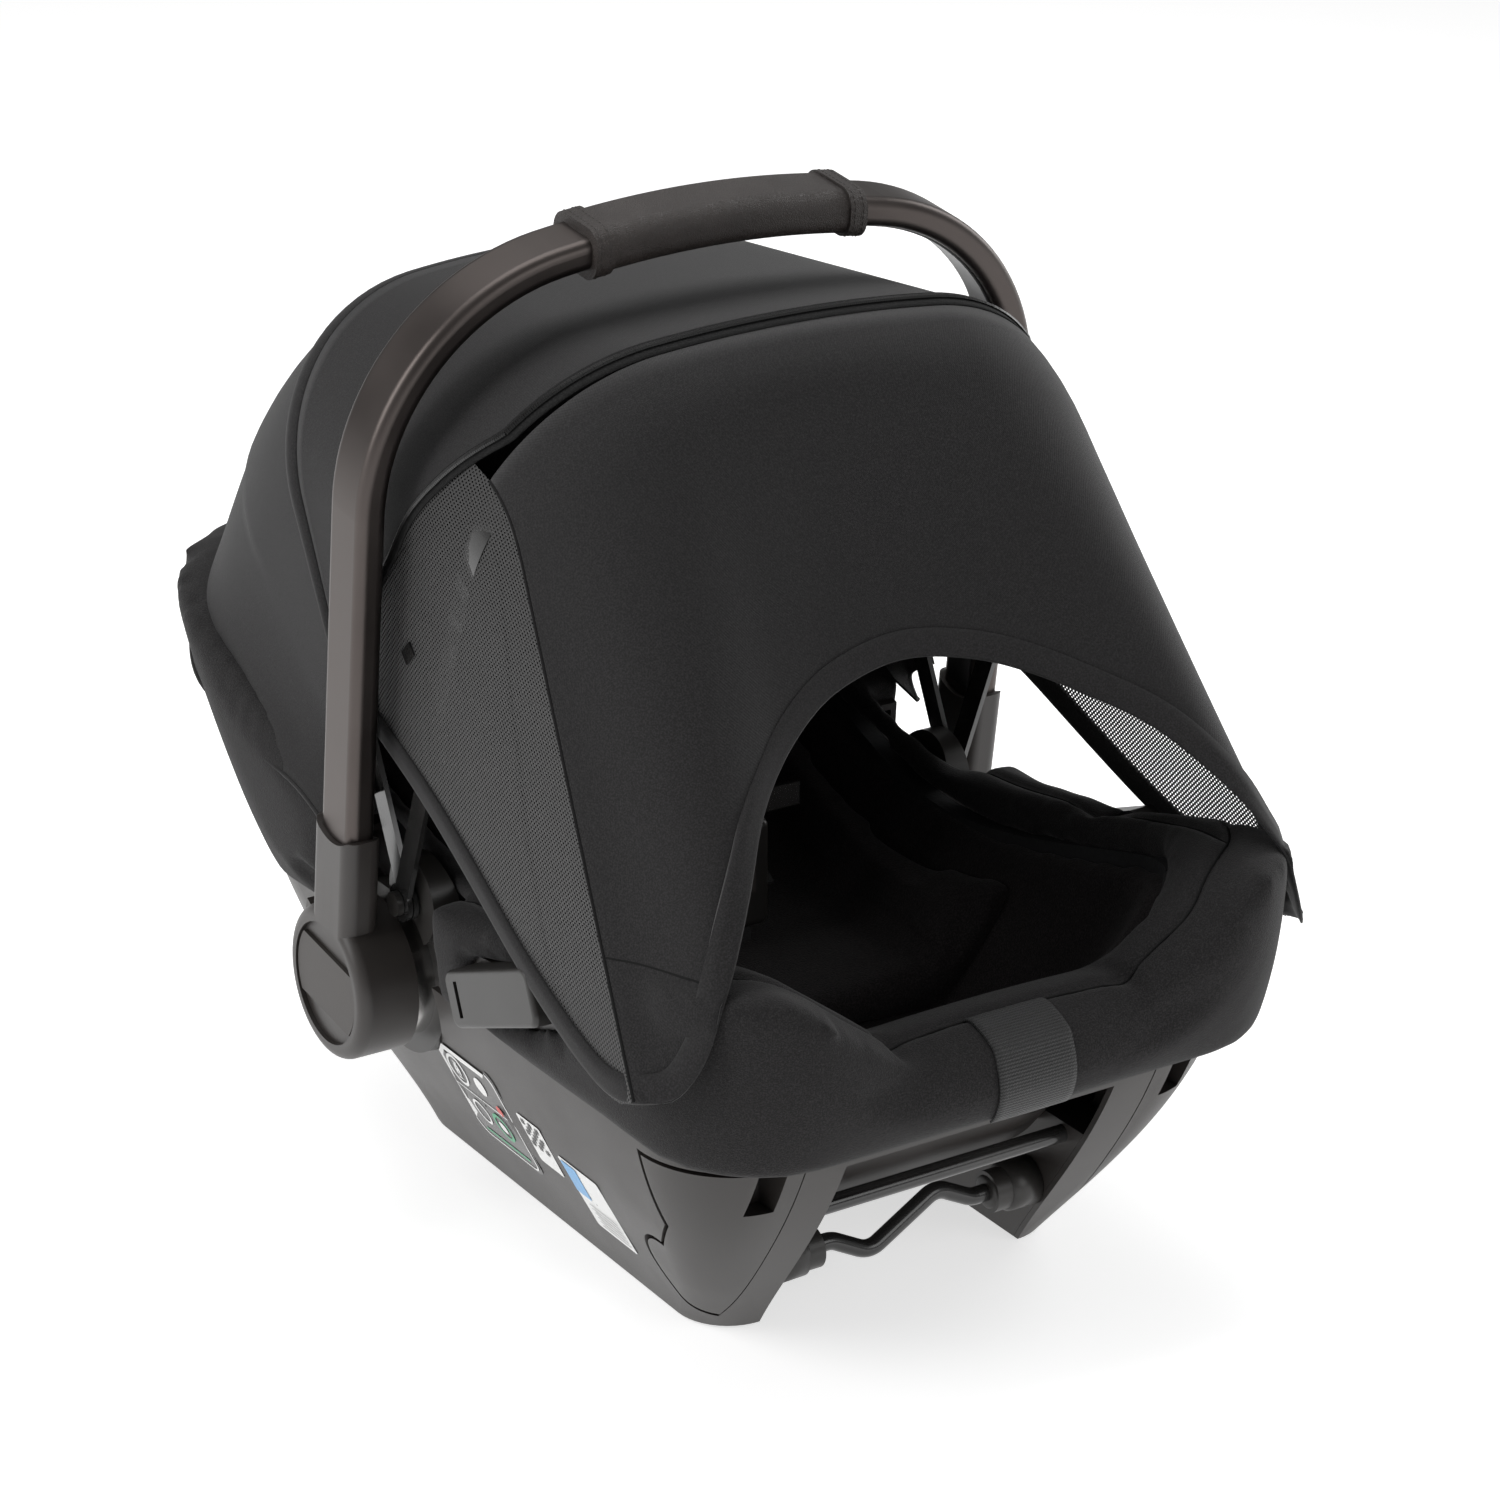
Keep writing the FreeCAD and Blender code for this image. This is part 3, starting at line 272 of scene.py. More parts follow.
def turned(name, centre, axis, profile, material, sides=48):
    """A body of revolution: profile is (distance along the axis, radius) from end to end."""
    axis = Vector(axis).normalized()
    across = axis.orthogonal().normalized()
    up = axis.cross(across)
    points, faces = [], []
    for along, radius in profile:
        for step in range(sides):
            turn = 2 * math.pi * step / sides
            arm = across * math.cos(turn) + up * math.sin(turn)
            points.append(Vector(centre) + axis * along + arm * radius)
    for ring in range(len(profile) - 1):
        for step in range(sides):
            after = (step + 1) % sides
            faces.append((ring * sides + step, ring * sides + after,
                          (ring + 1) * sides + after, (ring + 1) * sides + step))
    faces.append(tuple(range(sides))[::-1])
    last = (len(profile) - 1) * sides
    faces.append(tuple(range(last, last + sides)))
    return mesh_piece(name, points, faces, material)


bush_low, bush_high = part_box("bar_bushings")
bar_up = (bush_low[2] + bush_high[2]) / 2
bar_at = (bush_low[1] + bush_high[1]) / 2
bush_radius = (bush_high[2] - bush_low[2]) / 2
bush_end = 0.057
for side, label in ((-1, "left"), (1, "right")):
    profile = [(-0.001, 0.0056), (-0.001, 0.0085)]
    for rib in range(2):
        start = rib * 0.0048
        profile += [(start, 0.0098), (start + 0.0026, 0.0104), (start + 0.0032, 0.0086),
                    (start + 0.0042, 0.0086)]
    profile += [(0.0098, bush_radius), (0.011, bush_radius + 0.0018), (0.0285, bush_radius + 0.0022),
                (0.0285, 0.0056)]
    bush_middle = (side * bush_end, bar_at, bar_up)
    ribs = turned(f"bush_ribs_{label}", bush_middle, (side, 0, 0), profile, dark_plastic)
    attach(ribs, "shell")

# ---------------------------------------------------------------- handle
# One aluminium extrusion of flattened section, bent to an arch and anodised champagne grey, with a
# black strip let into its inner face and a hand-stitched leather sleeve round the middle; the strip's
# near-black colour is partly painted shade on the handle's inner side.
metal = finish(
    "anodised_handle", grained,
    {"Body": (0.078, 0.067, 0.063), "Worn": (0.125, 0.110, 0.104), "Grain": 2600.0, "Dullness": 0.40,
     "Wear": 0.5}, (0.12, 0.0001), {"Metallic": 1.0})
dress(metal, "handle_tube")
# The inner strip is a black insert. Its near-black colour also carries painted shade of the handle's inner
# side.
strip_black_and_painted_shade = finish(
    "strip_black_and_painted_shade", grained,
    {"Body": (0.006, 0.006, 0.006), "Worn": (0.02, 0.02, 0.02), "Grain": 1200.0, "Dullness": 0.35,
     "Wear": 0.2}, (0.15, 0.0001), {"Specular IOR Level": 0.4})
dress(strip_black_and_painted_shade, "handle_inner_strip")
hub_plastic = finish(
    "hub_plastic", grained,
    {"Body": (0.026, 0.0222, 0.0205), "Worn": (0.062, 0.055, 0.051), "Grain": 1700.0, "Dullness": 0.42,
     "Wear": 0.3}, (0.3, 0.0002), {"Specular IOR Level": 0.5})
dress(hub_plastic, *both("handle_hub"), *both("release_tab"))
plate_plastic = finish(
    "plate_plastic", grained,
    {"Body": (0.034, 0.0292, 0.0270), "Worn": (0.070, 0.062, 0.058), "Grain": 900.0, "Dullness": 0.5,
     "Wear": 0.2}, (0.25, 0.0002), {"Specular IOR Level": 0.4})
dress(plate_plastic, *both("release_button"), "buckle_press", "adjuster_press")
steel = finish(
    "bright_steel", grained,
    {"Body": (0.55, 0.54, 0.53), "Worn": (0.7, 0.69, 0.68), "Grain": 900.0, "Dullness": 0.25,
     "Wear": 0.3}, (0.1, 0.0001), {"Metallic": 1.0})
dress(steel, *both("pivot_pin"), *both("ratchet_plate"), "buckle_tongues")
dress(black_steel, "front_bow", "rear_bow")

hide, given, gives = effect(
    "hide_grain",
    {"Body": ("colour", (0.05, 0.04, 0.035, 1)), "Worn": ("colour", (0.1, 0.08, 0.07, 1)),
     "Cells": ("value", 900.0)},
    {"Colour": "colour", "Roughness": "value", "Height": "value"})
place = node(hide, "ShaderNodeTexCoord").outputs["Object"]
pull = node(hide, "ShaderNodeTexNoise", {"Vector": place, "Scale": 120.0, "Detail": 2.0}).outputs["Color"]
bent = node(hide, "ShaderNodeVectorMath", {0: pull, 1: (0.004, 0.004, 0.004)},
            operation="MULTIPLY").outputs[0]
bent = node(hide, "ShaderNodeVectorMath", {0: place, 1: bent}, operation="ADD").outputs[0]
cells = node(hide, "ShaderNodeTexVoronoi", {"Vector": bent, "Scale": given["Cells"]},
             feature="DISTANCE_TO_EDGE").outputs["Distance"]
pores = node(hide, "ShaderNodeTexNoise", {"Vector": place, "Scale": 2200.0, "Detail": 3.0}).outputs[0]
tops = spread(hide, cells, 0.0, 0.25)
height = math_node(hide, "ADD", tops, math_node(hide, "MULTIPLY", pores, 0.35))
hide.links.new(height, gives["Height"])
rubs = node(hide, "ShaderNodeTexNoise", {"Vector": place, "Scale": 30.0, "Detail": 4.0}).outputs[0]
share = math_node(hide, "MULTIPLY", tops, spread(hide, rubs, 0.3, 0.75), clamp=True)
hide.links.new(mix_colour(hide, share, given["Body"], given["Worn"]), gives["Colour"])
hide.links.new(spread(hide, share, 0.0, 1.0, 0.52, 0.40), gives["Roughness"])
leather = finish("grip_leather", hide,
                 {"Body": (0.022, 0.0170, 0.0150), "Worn": (0.052, 0.042, 0.038), "Cells": 850.0},
                 (0.55, 0.0004), {"Specular IOR Level": 0.5})
dress(leather, "grip_sleeve", "grip_rings")
thread = finish("dark_thread", grained,
                {"Body": (0.016, 0.013, 0.012), "Worn": (0.05, 0.042, 0.038), "Grain": 3000.0,
                 "Dullness": 0.6, "Wear": 0.3}, (0.3, 0.0001), {})


def surface_of(thing):
    """A search tree over an object's final mesh, in the row frame."""
    bpy.context.view_layer.update()
    return BVHTree.FromObject(thing, bpy.context.evaluated_depsgraph_get())


def even_steps(path, pitch, closed=False):
    """(point, direction) pairs at one pitch along a line of points."""
    run = list(path) + ([path[0]] if closed else [])
    lengths = [0.0]
    for before, after in zip(run, run[1:]):
        lengths.append(lengths[-1] + (after - before).length)
    count = max(1, round(lengths[-1] / pitch))
    steps, leg = [], 0
    for step in range(count if closed else count + 1):
        want = lengths[-1] * step / count
        while leg < len(run) - 2 and lengths[leg + 1] < want:
            leg += 1
        span = run[leg + 1] - run[leg]
        part = (want - lengths[leg]) / max(span.length, 1e-9)
        steps.append((run[leg] + span * part, span.normalized()))
    return steps


def stitches(name, path, material, pitch=0.0036, share=0.68, radius=0.0004, closed=False):
    """A row of short thread lengths that dip into the cloth at both ends."""
    points, faces = [], []
    for middle, along in even_steps(path, pitch, closed):
        side = along.orthogonal().normalized()
        up = along.cross(side)
        first = len(points)
        for at, grow in ((-0.5, 0.35), (-0.3, 0.95), (0.0, 1.1), (0.3, 0.95), (0.5, 0.35)):
            for corner in range(6):
                turn = corner * math.pi / 3
                arm = side * math.cos(turn) + up * math.sin(turn)
                points.append(middle + along * (at * pitch * share) + arm * (radius * grow))
        for ring in range(4):
            for corner in range(6):
                after = (corner + 1) % 6
                base = first + ring * 6
                faces.append((base + corner, base + after, base + 6 + after, base + 6 + corner))
        faces.append(tuple(range(first, first + 6))[::-1])
        faces.append(tuple(range(first + 24, first + 30)))
    return mesh_piece(name, points, faces, material)


def ring_path(tree, x, middle, reach=0.06, turns=64):
    """Where a loop in the plane at x meets a surface round a middle point (y, z)."""
    loop = []
    for step in range(turns):
        turn = 2 * math.pi * step / turns
        arm = Vector((0, math.cos(turn), math.sin(turn)))
        start = Vector((x, *middle)) + arm * reach
        hit = tree.ray_cast(start, -arm, reach)[0]
        if hit is not None:
            loop.append(hit)
    return loop


ring_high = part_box("grip_rings")[1]
sleeve_low, sleeve_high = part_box("grip_sleeve")
grip_middle = ((sleeve_low[1] + sleeve_high[1]) / 2, (sleeve_low[2] + sleeve_high[2]) / 2)
ring_tree = surface_of(frame["nodes"]["grip_rings"])
for side, label in ((-1, "left"), (1, "right")):
    for at, word in ((0.25, "inner"), (0.75, "outer")):
        x = side * (sleeve_high[0] + at * (ring_high[0] - sleeve_high[0]))
        loop = ring_path(ring_tree, x, grip_middle)
        row = stitches(f"grip_stitch_{word}_{label}", loop, thread, closed=True)
        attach(row, "handle")

# ---------------------------------------------------------------- knit cover of the seat
# The cover is a foam-backed charcoal knit, sewn from an outer and an inner panel that meet in a
# seam along the padded rim, and hooked under the shell's edge.
knitted, given, gives = effect(
    "heather_knit",
    {"Yarn": ("colour", (0.03, 0.03, 0.03, 1)), "Fleck": ("colour", (0.07, 0.07, 0.07, 1)),
     "Loop": ("value", 0.0009), "Dullness": ("value", 0.85)},
    {"Colour": "colour", "Roughness": "value", "Height": "value"})
place = node(knitted, "ShaderNodeTexCoord").outputs["Object"]
density = math_node(knitted, "DIVIDE", 1.0, given["Loop"])
loops = node(knitted, "ShaderNodeTexVoronoi", {"Vector": place, "Scale": density}).outputs["Distance"]
flecks = node(knitted, "ShaderNodeTexNoise", {"Vector": place, "Scale": density, "Detail": 2.0}).outputs[0]
drift = node(knitted, "ShaderNodeTexNoise", {"Vector": place, "Scale": 9.0, "Detail": 4.0}).outputs[0]
mixed = math_node(knitted, "MULTIPLY", spread(knitted, flecks, 0.42, 0.68),
                  spread(knitted, drift, 0.2, 0.8, 0.55, 1.0), clamp=True)
knitted.links.new(mix_colour(knitted, mixed, given["Yarn"], given["Fleck"]), gives["Colour"])
knitted.links.new(math_node(knitted, "ADD", given["Dullness"], spread(knitted, drift, 0.2, 0.8, -0.05, 0.05)),
                  gives["Roughness"])
knitted.links.new(math_node(knitted, "SUBTRACT", 1.0, loops), gives["Height"])

knit = finish("cover_knit", knitted,
              {"Yarn": (0.013, 0.0124, 0.0127), "Fleck": (0.034, 0.0325, 0.0332), "Loop": 0.0008,
               "Dullness": 0.85},
              (0.5, 0.0005), {"Sheen Weight": 0.10, "Sheen Roughness": 0.45, "Specular IOR Level": 0.14})
soft_knit = finish("liner_knit", knitted,
                   {"Yarn": (0.013, 0.0115, 0.0118), "Fleck": (0.034, 0.0300, 0.0308), "Loop": 0.0010,
                    "Dullness": 0.9},
                   (0.6, 0.0006), {"Sheen Weight": 0.05, "Sheen Roughness": 0.5, "Specular IOR Level": 0.10})
seam_thread = finish("seam_thread", grained,
                     {"Body": (0.004, 0.004, 0.004), "Worn": (0.012, 0.012, 0.012), "Grain": 3000.0,
                      "Dullness": 0.8, "Wear": 0.2}, (0.3, 0.0001), {"Specular IOR Level": 0.2})


def settle(thing):
    """Applies every modifier to an object's mesh."""
    bpy.context.view_layer.update()
    depsgraph = bpy.context.evaluated_depsgraph_get()
    done = bpy.data.meshes.new_from_object(thing.evaluated_get(depsgraph))
    thing.modifiers.clear()
    thing.data = done


def blow_up(thing, pressure, cap):
    """Cloth simulation with air pressure inside, each point moving no further than cap."""
    before = [vertex.co.copy() for vertex in thing.data.vertices]
    cloth = thing.modifiers.new("stuffing", "CLOTH")
    cloth.settings.quality = 4
    cloth.settings.use_pressure = True
    cloth.settings.uniform_pressure_force = pressure
    cloth.settings.effector_weights.gravity = 0
    cloth.point_cache.frame_end = 20
    for number in range(1, 21):
        scene.frame_set(number)
    settle(thing)
    scene.frame_set(1)
    for vertex, start in zip(thing.data.vertices, before):
        move = vertex.co - start
        if move.length > cap:
            vertex.co = start + move * (cap / move.length)


def stuffed(name, source, material, voxel, soften, pressure, cap):
    """A padded piece: a node's form evened out, softened, blown up and subdivided."""
    origin = frame["nodes"][source]
    mesh = origin.data.copy()
    mesh.transform(origin.matrix_world)
    thing = bpy.data.objects.new(name, mesh)
    scene.collection.objects.link(thing)
    even = thing.modifiers.new("even", "REMESH")
    even.mode = "VOXEL"
    even.voxel_size = voxel
    smooth = thing.modifiers.new("soften", "SMOOTH")
    smooth.factor = 0.5
    smooth.iterations = soften
    settle(thing)
    blow_up(thing, pressure, cap)
    finer = thing.modifiers.new("finer", "SUBSURF")
    finer.levels = 1
    finer.render_levels = 1
    settle(thing)
    thing.data.materials.clear()
    thing.data.materials.append(material)
    thing.data.shade_smooth()
    return thing


def press_seams(thing, paths, depth, width):
    """Pulls the surface in along sewn lines."""
    samples = [point for path in paths for point, along in even_steps(path, 0.002)]
    near = KDTree(len(samples))
    for index, point in enumerate(samples):
        near.insert(point, index)
    near.balance()
    moves = []
    for vertex in thing.data.vertices:
        gap = near.find(vertex.co)[2]
        if gap < 3 * width:
            moves.append((vertex, vertex.normal.copy(), depth * math.exp(-(gap / width) ** 2)))
    for vertex, normal, pull in moves:
        vertex.co -= normal * pull
    thing.data.update()


def dropped(tree, points, direction=(0, 0, -1), lift=0.0):
    """Points laid on a surface along a direction."""
    way = Vector(direction).normalized()
    laid = []
    for point in points:
        hit = tree.ray_cast(Vector(point) - way * 0.25, way, 0.6)[0]
        if hit is not None:
            laid.append(hit - way * lift)
    return laid


def curve_through(points, steps=10):
    """A smooth line through given points."""
    run = [Vector(point) for point in points]
    ends = [2 * run[0] - run[1]] + run + [2 * run[-1] - run[-2]]
    line = []
    for a, b, c, d in zip(ends, ends[1:], ends[2:], ends[3:]):
        for step in range(steps):
            t = step / steps
            line.append(((2 * b) + (c - a) * t + (2 * a - 5 * b + 4 * c - d) * t ** 2
                         + (3 * b - a - 3 * c + d) * t ** 3) / 2)
    line.append(run[-1])
    return line


def tube_along(name, path, radius, material, sides=8, closed=False):
    """A round cord along a line of points."""
    run = [point for point, along in even_steps(path, max(radius * 1.5, 0.0015), closed)]
    points, faces = [], []
    side = None
    count = len(run)
    for index, point in enumerate(run):
        after = run[(index + 1) % count] if closed else run[min(index + 1, count - 1)]
        before = run[index - 1] if closed or index else run[0]
        along = (after - before).normalized()
        if side is None:
            side = along.orthogonal().normalized()
        else:
            side = (side - along * side.dot(along)).normalized()
        up = along.cross(side)
        for corner in range(sides):
            turn = 2 * math.pi * corner / sides
            points.append(point + (side * math.cos(turn) + up * math.sin(turn)) * radius)
    for ring in range(count if closed else count - 1):
        for corner in range(sides):
            after = (corner + 1) % sides
            low, high = ring * sides, ((ring + 1) % count) * sides
            faces.append((low + corner, low + after, high + after, high + corner))
    if not closed:
        faces.append(tuple(range(sides))[::-1])
        faces.append(tuple(range((count - 1) * sides, count * sides)))
    return mesh_piece(name, points, faces, material)


rim_stations = [(-0.40, 0.234), (-0.28, 0.236), (-0.045, 0.194), (0.11, 0.236), (0.40, 0.294)]


def rim_height(y):
    """Top of the padded rim, from the frame's own line of heights."""
    for (y0, z0), (y1, z1) in zip(rim_stations, rim_stations[1:]):
        if y <= y1:
            t = (y - y0) / (y1 - y0)
            return z0 + (z1 - z0) * t * t * (3 - 2 * t) + 0.017
    return rim_stations[-1][1] + 0.017


cover = stuffed("seat_cover_knit", "seat_cover", knit, 0.0055, 9, 3.0, 0.005)
cover_tree = surface_of(cover)
notch_half = 0.113
front_seam = curve_through([(-0.186, -0.262, 0.3), (-0.160, -0.296, 0.3), (-0.130, -0.314, 0.3),
                            (-notch_half, -0.322, 0.3), (-0.09, -0.320, 0.3), (-0.045, -0.3145, 0.3),
                            (0, -0.313, 0.3), (0.045, -0.3145, 0.3), (0.09, -0.320, 0.3),
                            (notch_half, -0.322, 0.3), (0.130, -0.314, 0.3), (0.160, -0.296, 0.3),
                            (0.186, -0.262, 0.3)])
seam_lines = [dropped(cover_tree, front_seam)]
for side in (-1, 1):
    top = curve_through([(side * 0.160, -0.296, 0.3), (side * 0.166, -0.22, 0.3), (side * 0.170, -0.10, 0.3),
                         (side * 0.172, -0.056, 0.3)])
    seam_lines.append(dropped(cover_tree, top))
press_seams(cover, seam_lines, 0.003, 0.0035)
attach(cover, "shell")
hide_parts("seat_cover")
cover_tree = surface_of(cover)
for index, line in enumerate(seam_lines):
    flat = dropped(cover_tree, line, lift=0.0001)
    seam = tube_along(f"cover_seam_{index}", flat, 0.0007, seam_thread, 6)
    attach(seam, "shell")

# ---------------------------------------------------------------- seat pad, insert and pillow
# Loose padding inside the tub: a quilted seat pad, a softer insert for a newborn with a piped
# edge, and a small head pillow, all in a darker brushed knit over wadding.
pad_taper = 0.055
pad_pull = 0.013
pad_low, pad_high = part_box("seat_pad")
pad_middle = (pad_low[1] + pad_high[1]) / 2
pad = stuffed("seat_pad_knit", "seat_pad", soft_knit, 0.006, 8, 2.0, 0.003)
for vertex in pad.data.vertices:
    below = rim_height(vertex.co.y) - 0.017 - vertex.co.z
    outward = Vector((vertex.co.x, vertex.co.y - pad_middle, 0))
    if below < pad_taper and outward.length > 0.02:
        vertex.co += outward.normalized() * (pad_pull * min(1.0, 1 - below / pad_taper))
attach(pad, "shell")
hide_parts("seat_pad")
insert = stuffed("infant_insert_knit", "infant_insert", soft_knit, 0.006, 12, 3.0, 0.005)
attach(insert, "shell")
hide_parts("infant_insert")
pillow = stuffed("head_pillow_knit", "head_pillow", soft_knit, 0.005, 4, 4.0, 0.006)
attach(pillow, "shell")
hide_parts("head_pillow")
shoulder = stuffed("shoulder_pad_knit", "shoulder_pads", soft_knit, 0.0035, 3, 4.0, 0.003)
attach(shoulder, "shell")
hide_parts("shoulder_pads")

# ---------------------------------------------------------------- webbing
# Woven polyester webbing: the harness and crotch straps, and the broad loop that holds the cover
# down over the foot end of the rim.
webbed, given, gives = effect(
    "ribbed_webbing",
    {"Yarn": ("colour", (0.02, 0.02, 0.02, 1)), "Crown": ("colour", (0.06, 0.06, 0.06, 1)),
     "Rib": ("value", 0.0017)},
    {"Colour": "colour", "Roughness": "value", "Height": "value"})
weft = node(webbed, "ShaderNodeUVMap").outputs[0]
parts = node(webbed, "ShaderNodeSeparateXYZ", {0: weft})
along = math_node(webbed, "DIVIDE", parts.outputs[1], given["Rib"])
across = math_node(webbed, "DIVIDE", parts.outputs[0], given["Rib"])
stagger = math_node(webbed, "SINE", math_node(webbed, "MULTIPLY", across, 6.2832))
stagger = math_node(webbed, "MULTIPLY", stagger, 0.12)
ribs = math_node(webbed, "MULTIPLY", math_node(webbed, "ADD", along, stagger), 6.2832)
ribs = math_node(webbed, "MULTIPLY", math_node(webbed, "SINE", ribs), 0.5)
yarns = math_node(webbed, "SINE", math_node(webbed, "MULTIPLY", across, 12.5664))
height = math_node(webbed, "ADD", ribs, math_node(webbed, "MULTIPLY", yarns, 0.2))
height = spread(webbed, height, -0.7, 0.7)
place = node(webbed, "ShaderNodeTexCoord").outputs["Object"]
fuzz = node(webbed, "ShaderNodeTexNoise", {"Vector": place, "Scale": 1800.0, "Detail": 2.0}).outputs[0]
worn = math_node(webbed, "MULTIPLY", height, spread(webbed, fuzz, 0.3, 0.7), clamp=True)
webbed.links.new(mix_colour(webbed, worn, given["Yarn"], given["Crown"]), gives["Colour"])
webbed.links.new(spread(webbed, height, 0.0, 1.0, 0.62, 0.42), gives["Roughness"])
webbed.links.new(height, gives["Height"])
webbing = finish("strap_webbing", webbed,
                 {"Yarn": (0.012, 0.012, 0.012), "Crown": (0.055, 0.055, 0.056), "Rib": 0.0018},
                 (0.7, 0.0006), {"Sheen Weight": 0.08, "Specular IOR Level": 0.35})


def cloth_grid(name, rows, material, thick=0.0, closed=False):
    """A sheet through rows of points, with lengths in metres as its UV, and a little thickness."""
    wide = len(rows[0])
    points = [point for row in rows for point in row]
    faces = []
    for low in range(len(rows) - 1):
        for step in range(wide if closed else wide - 1):
            after = (step + 1) % wide
            faces.append((low * wide + step, low * wide + after,
                          (low + 1) * wide + after, (low + 1) * wide + step))
    thing = mesh_piece(name, points, faces, material)
    middle = rows[len(rows) // 2]
    u = [0.0]
    for before, after in zip(middle, middle[1:]):
        u.append(u[-1] + (after - before).length)
    u.append(u[-1] + (middle[0] - middle[-1]).length)
    centre = wide // 2
    v = [0.0]
    for before, after in zip(rows, rows[1:]):
        v.append(v[-1] + (after[centre] - before[centre]).length)
    uv = thing.data.uv_layers.new(name="UVMap")
    for loop in thing.data.loops:
        row, step = divmod(loop.vertex_index, wide)
        uv.data[loop.index].uv = (u[step], v[row])
    if thick:
        body = thing.modifiers.new("thickness", "SOLIDIFY")
        body.thickness = thick
        body.offset = 0.0
        settle(thing)
        thing.data.shade_smooth()
    return thing


web_low, web_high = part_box("foot_webbing")
roll_middle = Vector((0, -0.331, 0.172))
rows = []
for step in range(41):
    turn = math.radians(-62 + step * (62 + 118) / 40)
    arm = Vector((0, -math.cos(turn), math.sin(turn)))
    row = []
    for across_step in range(13):
        x = web_low[0] + (web_high[0] - web_low[0]) * across_step / 12
        start = Vector((x, roll_middle.y, roll_middle.z)) + arm * 0.09
        hit = cover_tree.ray_cast(start, -arm, 0.09)[0]
        hit = hit if hit is not None else (row[-1] if row else start - arm * 0.06)
        row.append(Vector((x, hit.y, hit.z)) + arm * 0.0014)
    rows.append(row)
loop_webbing = cloth_grid("foot_loop_webbing", rows, webbing, 0.0014)
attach(loop_webbing, "shell")
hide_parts("foot_webbing")
dress(webbing, "harness_straps", "crotch_strap")
dress(dark_plastic, "chest_clip", "buckle_housing", "adjuster_housing")

# ---------------------------------------------------------------- canopy cloth
# Smooth woven polyester over two bows that turn about one cross axis: a rear hood sewn to the
# cover, a sleeve over the rear bow, and a taut middle panel that ends at a coil zip.
woven, given, gives = effect(
    "plain_weave",
    {"Yarn": ("colour", (0.03, 0.03, 0.03, 1)), "Fleck": ("colour", (0.06, 0.06, 0.06, 1)),
     "Thread": ("value", 0.0006), "Dullness": ("value", 0.7)},
    {"Colour": "colour", "Roughness": "value", "Height": "value"})
weft = node(woven, "ShaderNodeUVMap").outputs[0]
parts = node(woven, "ShaderNodeSeparateXYZ", {0: weft})
turns = math_node(woven, "DIVIDE", 3.14159, given["Thread"])
warp = math_node(woven, "SINE", math_node(woven, "MULTIPLY", parts.outputs[0], turns))
fill = math_node(woven, "SINE", math_node(woven, "MULTIPLY", parts.outputs[1], turns))
cross = math_node(woven, "MULTIPLY", warp, fill)
place = node(woven, "ShaderNodeTexCoord").outputs["Object"]
flecks = node(woven, "ShaderNodeTexNoise", {"Vector": place, "Scale": 1100.0, "Detail": 3.0}).outputs[0]
drift = node(woven, "ShaderNodeTexNoise", {"Vector": place, "Scale": 7.0, "Detail": 4.0}).outputs[0]
amount = math_node(woven, "MULTIPLY", spread(woven, flecks, 0.4, 0.7),
                   spread(woven, drift, 0.2, 0.8, 0.6, 1.0), clamp=True)
woven.links.new(mix_colour(woven, amount, given["Yarn"], given["Fleck"]), gives["Colour"])
woven.links.new(math_node(woven, "ADD", given["Dullness"], spread(woven, drift, 0.2, 0.8, -0.05, 0.05)),
                gives["Roughness"])
woven.links.new(spread(woven, cross, -1.0, 1.0), gives["Height"])
canopy_cloth = finish("canopy_weave", woven,
                      {"Yarn": (0.013, 0.0124, 0.0128), "Fleck": (0.030, 0.0288, 0.0295), "Thread": 0.0007,
                       "Dullness": 0.72},
                      (0.35, 0.0003),
                      {"Sheen Weight": 0.12, "Sheen Roughness": 0.4, "Specular IOR Level": 0.18})

canopy_axis = Vector(joints["canopy_fold"]["pos_m"])
canopy_half = 0.190
canopy_radius = 0.350
canopy_crown = 0.700
canopy_corner = 0.118
front_tilt = 21.8
rear_tilt = -25.0
dome_inset = 0.0101


def arch_point(share, half, top, crown, corner, foot):
    """(x, height) on an arch at a share of its girth, -1 at the left foot and 1 at the right."""
    corner_x = half - corner
    corner_z = top - crown + math.sqrt((crown - corner) ** 2 - corner_x ** 2)
    tilt = math.atan2(corner_x, corner_z - top + crown)
    crown_run = crown * tilt
    corner_run = corner * (math.pi / 2 - tilt)
    want = abs(share) * (crown_run + corner_run + corner_z - foot)
    if want < crown_run:
        x, z = crown * math.sin(want / crown), top - crown + crown * math.cos(want / crown)
    elif want < crown_run + corner_run:
        turn = tilt + (want - crown_run) / corner
        x, z = corner_x + corner * math.sin(turn), corner_z + corner * math.cos(turn)
    else:
        x, z = half, corner_z - (want - crown_run - corner_run)
    return math.copysign(x, share), z


def canopy_point(share, tilt, inset=0.0, foot=0.0):
    """A point of the canopy's arch at a tilt towards the feet, in degrees."""
    x, up = arch_point(share, canopy_half - inset, canopy_radius - inset, canopy_crown - inset,
                       canopy_corner - inset, foot)
    turn = math.radians(tilt)
    return canopy_axis + Vector((x, -up * math.sin(turn), up * math.cos(turn)))


def rim_tilt(share, inset, foot):
    """How far back the hood's arch can lean before it meets the rim."""
    low, high = rear_tilt - 1, -88.0
    for trial in range(24):
        middle = (low + high) / 2
        point = canopy_point(share, middle, inset, foot)
        if point.z > rim_height(point.y):
            low = middle
        else:
            high = middle
    return low


cover_tree = surface_of(cover)
rim_search = 0.04


def outside(point, gap):
    """Moves a point of cloth that would lie in the padded rim out to its surface."""
    near, normal = cover_tree.find_nearest(point, rim_search)[:2]
    if near is None or (point - near).dot(normal) >= gap:
        return point
    return near + normal * gap


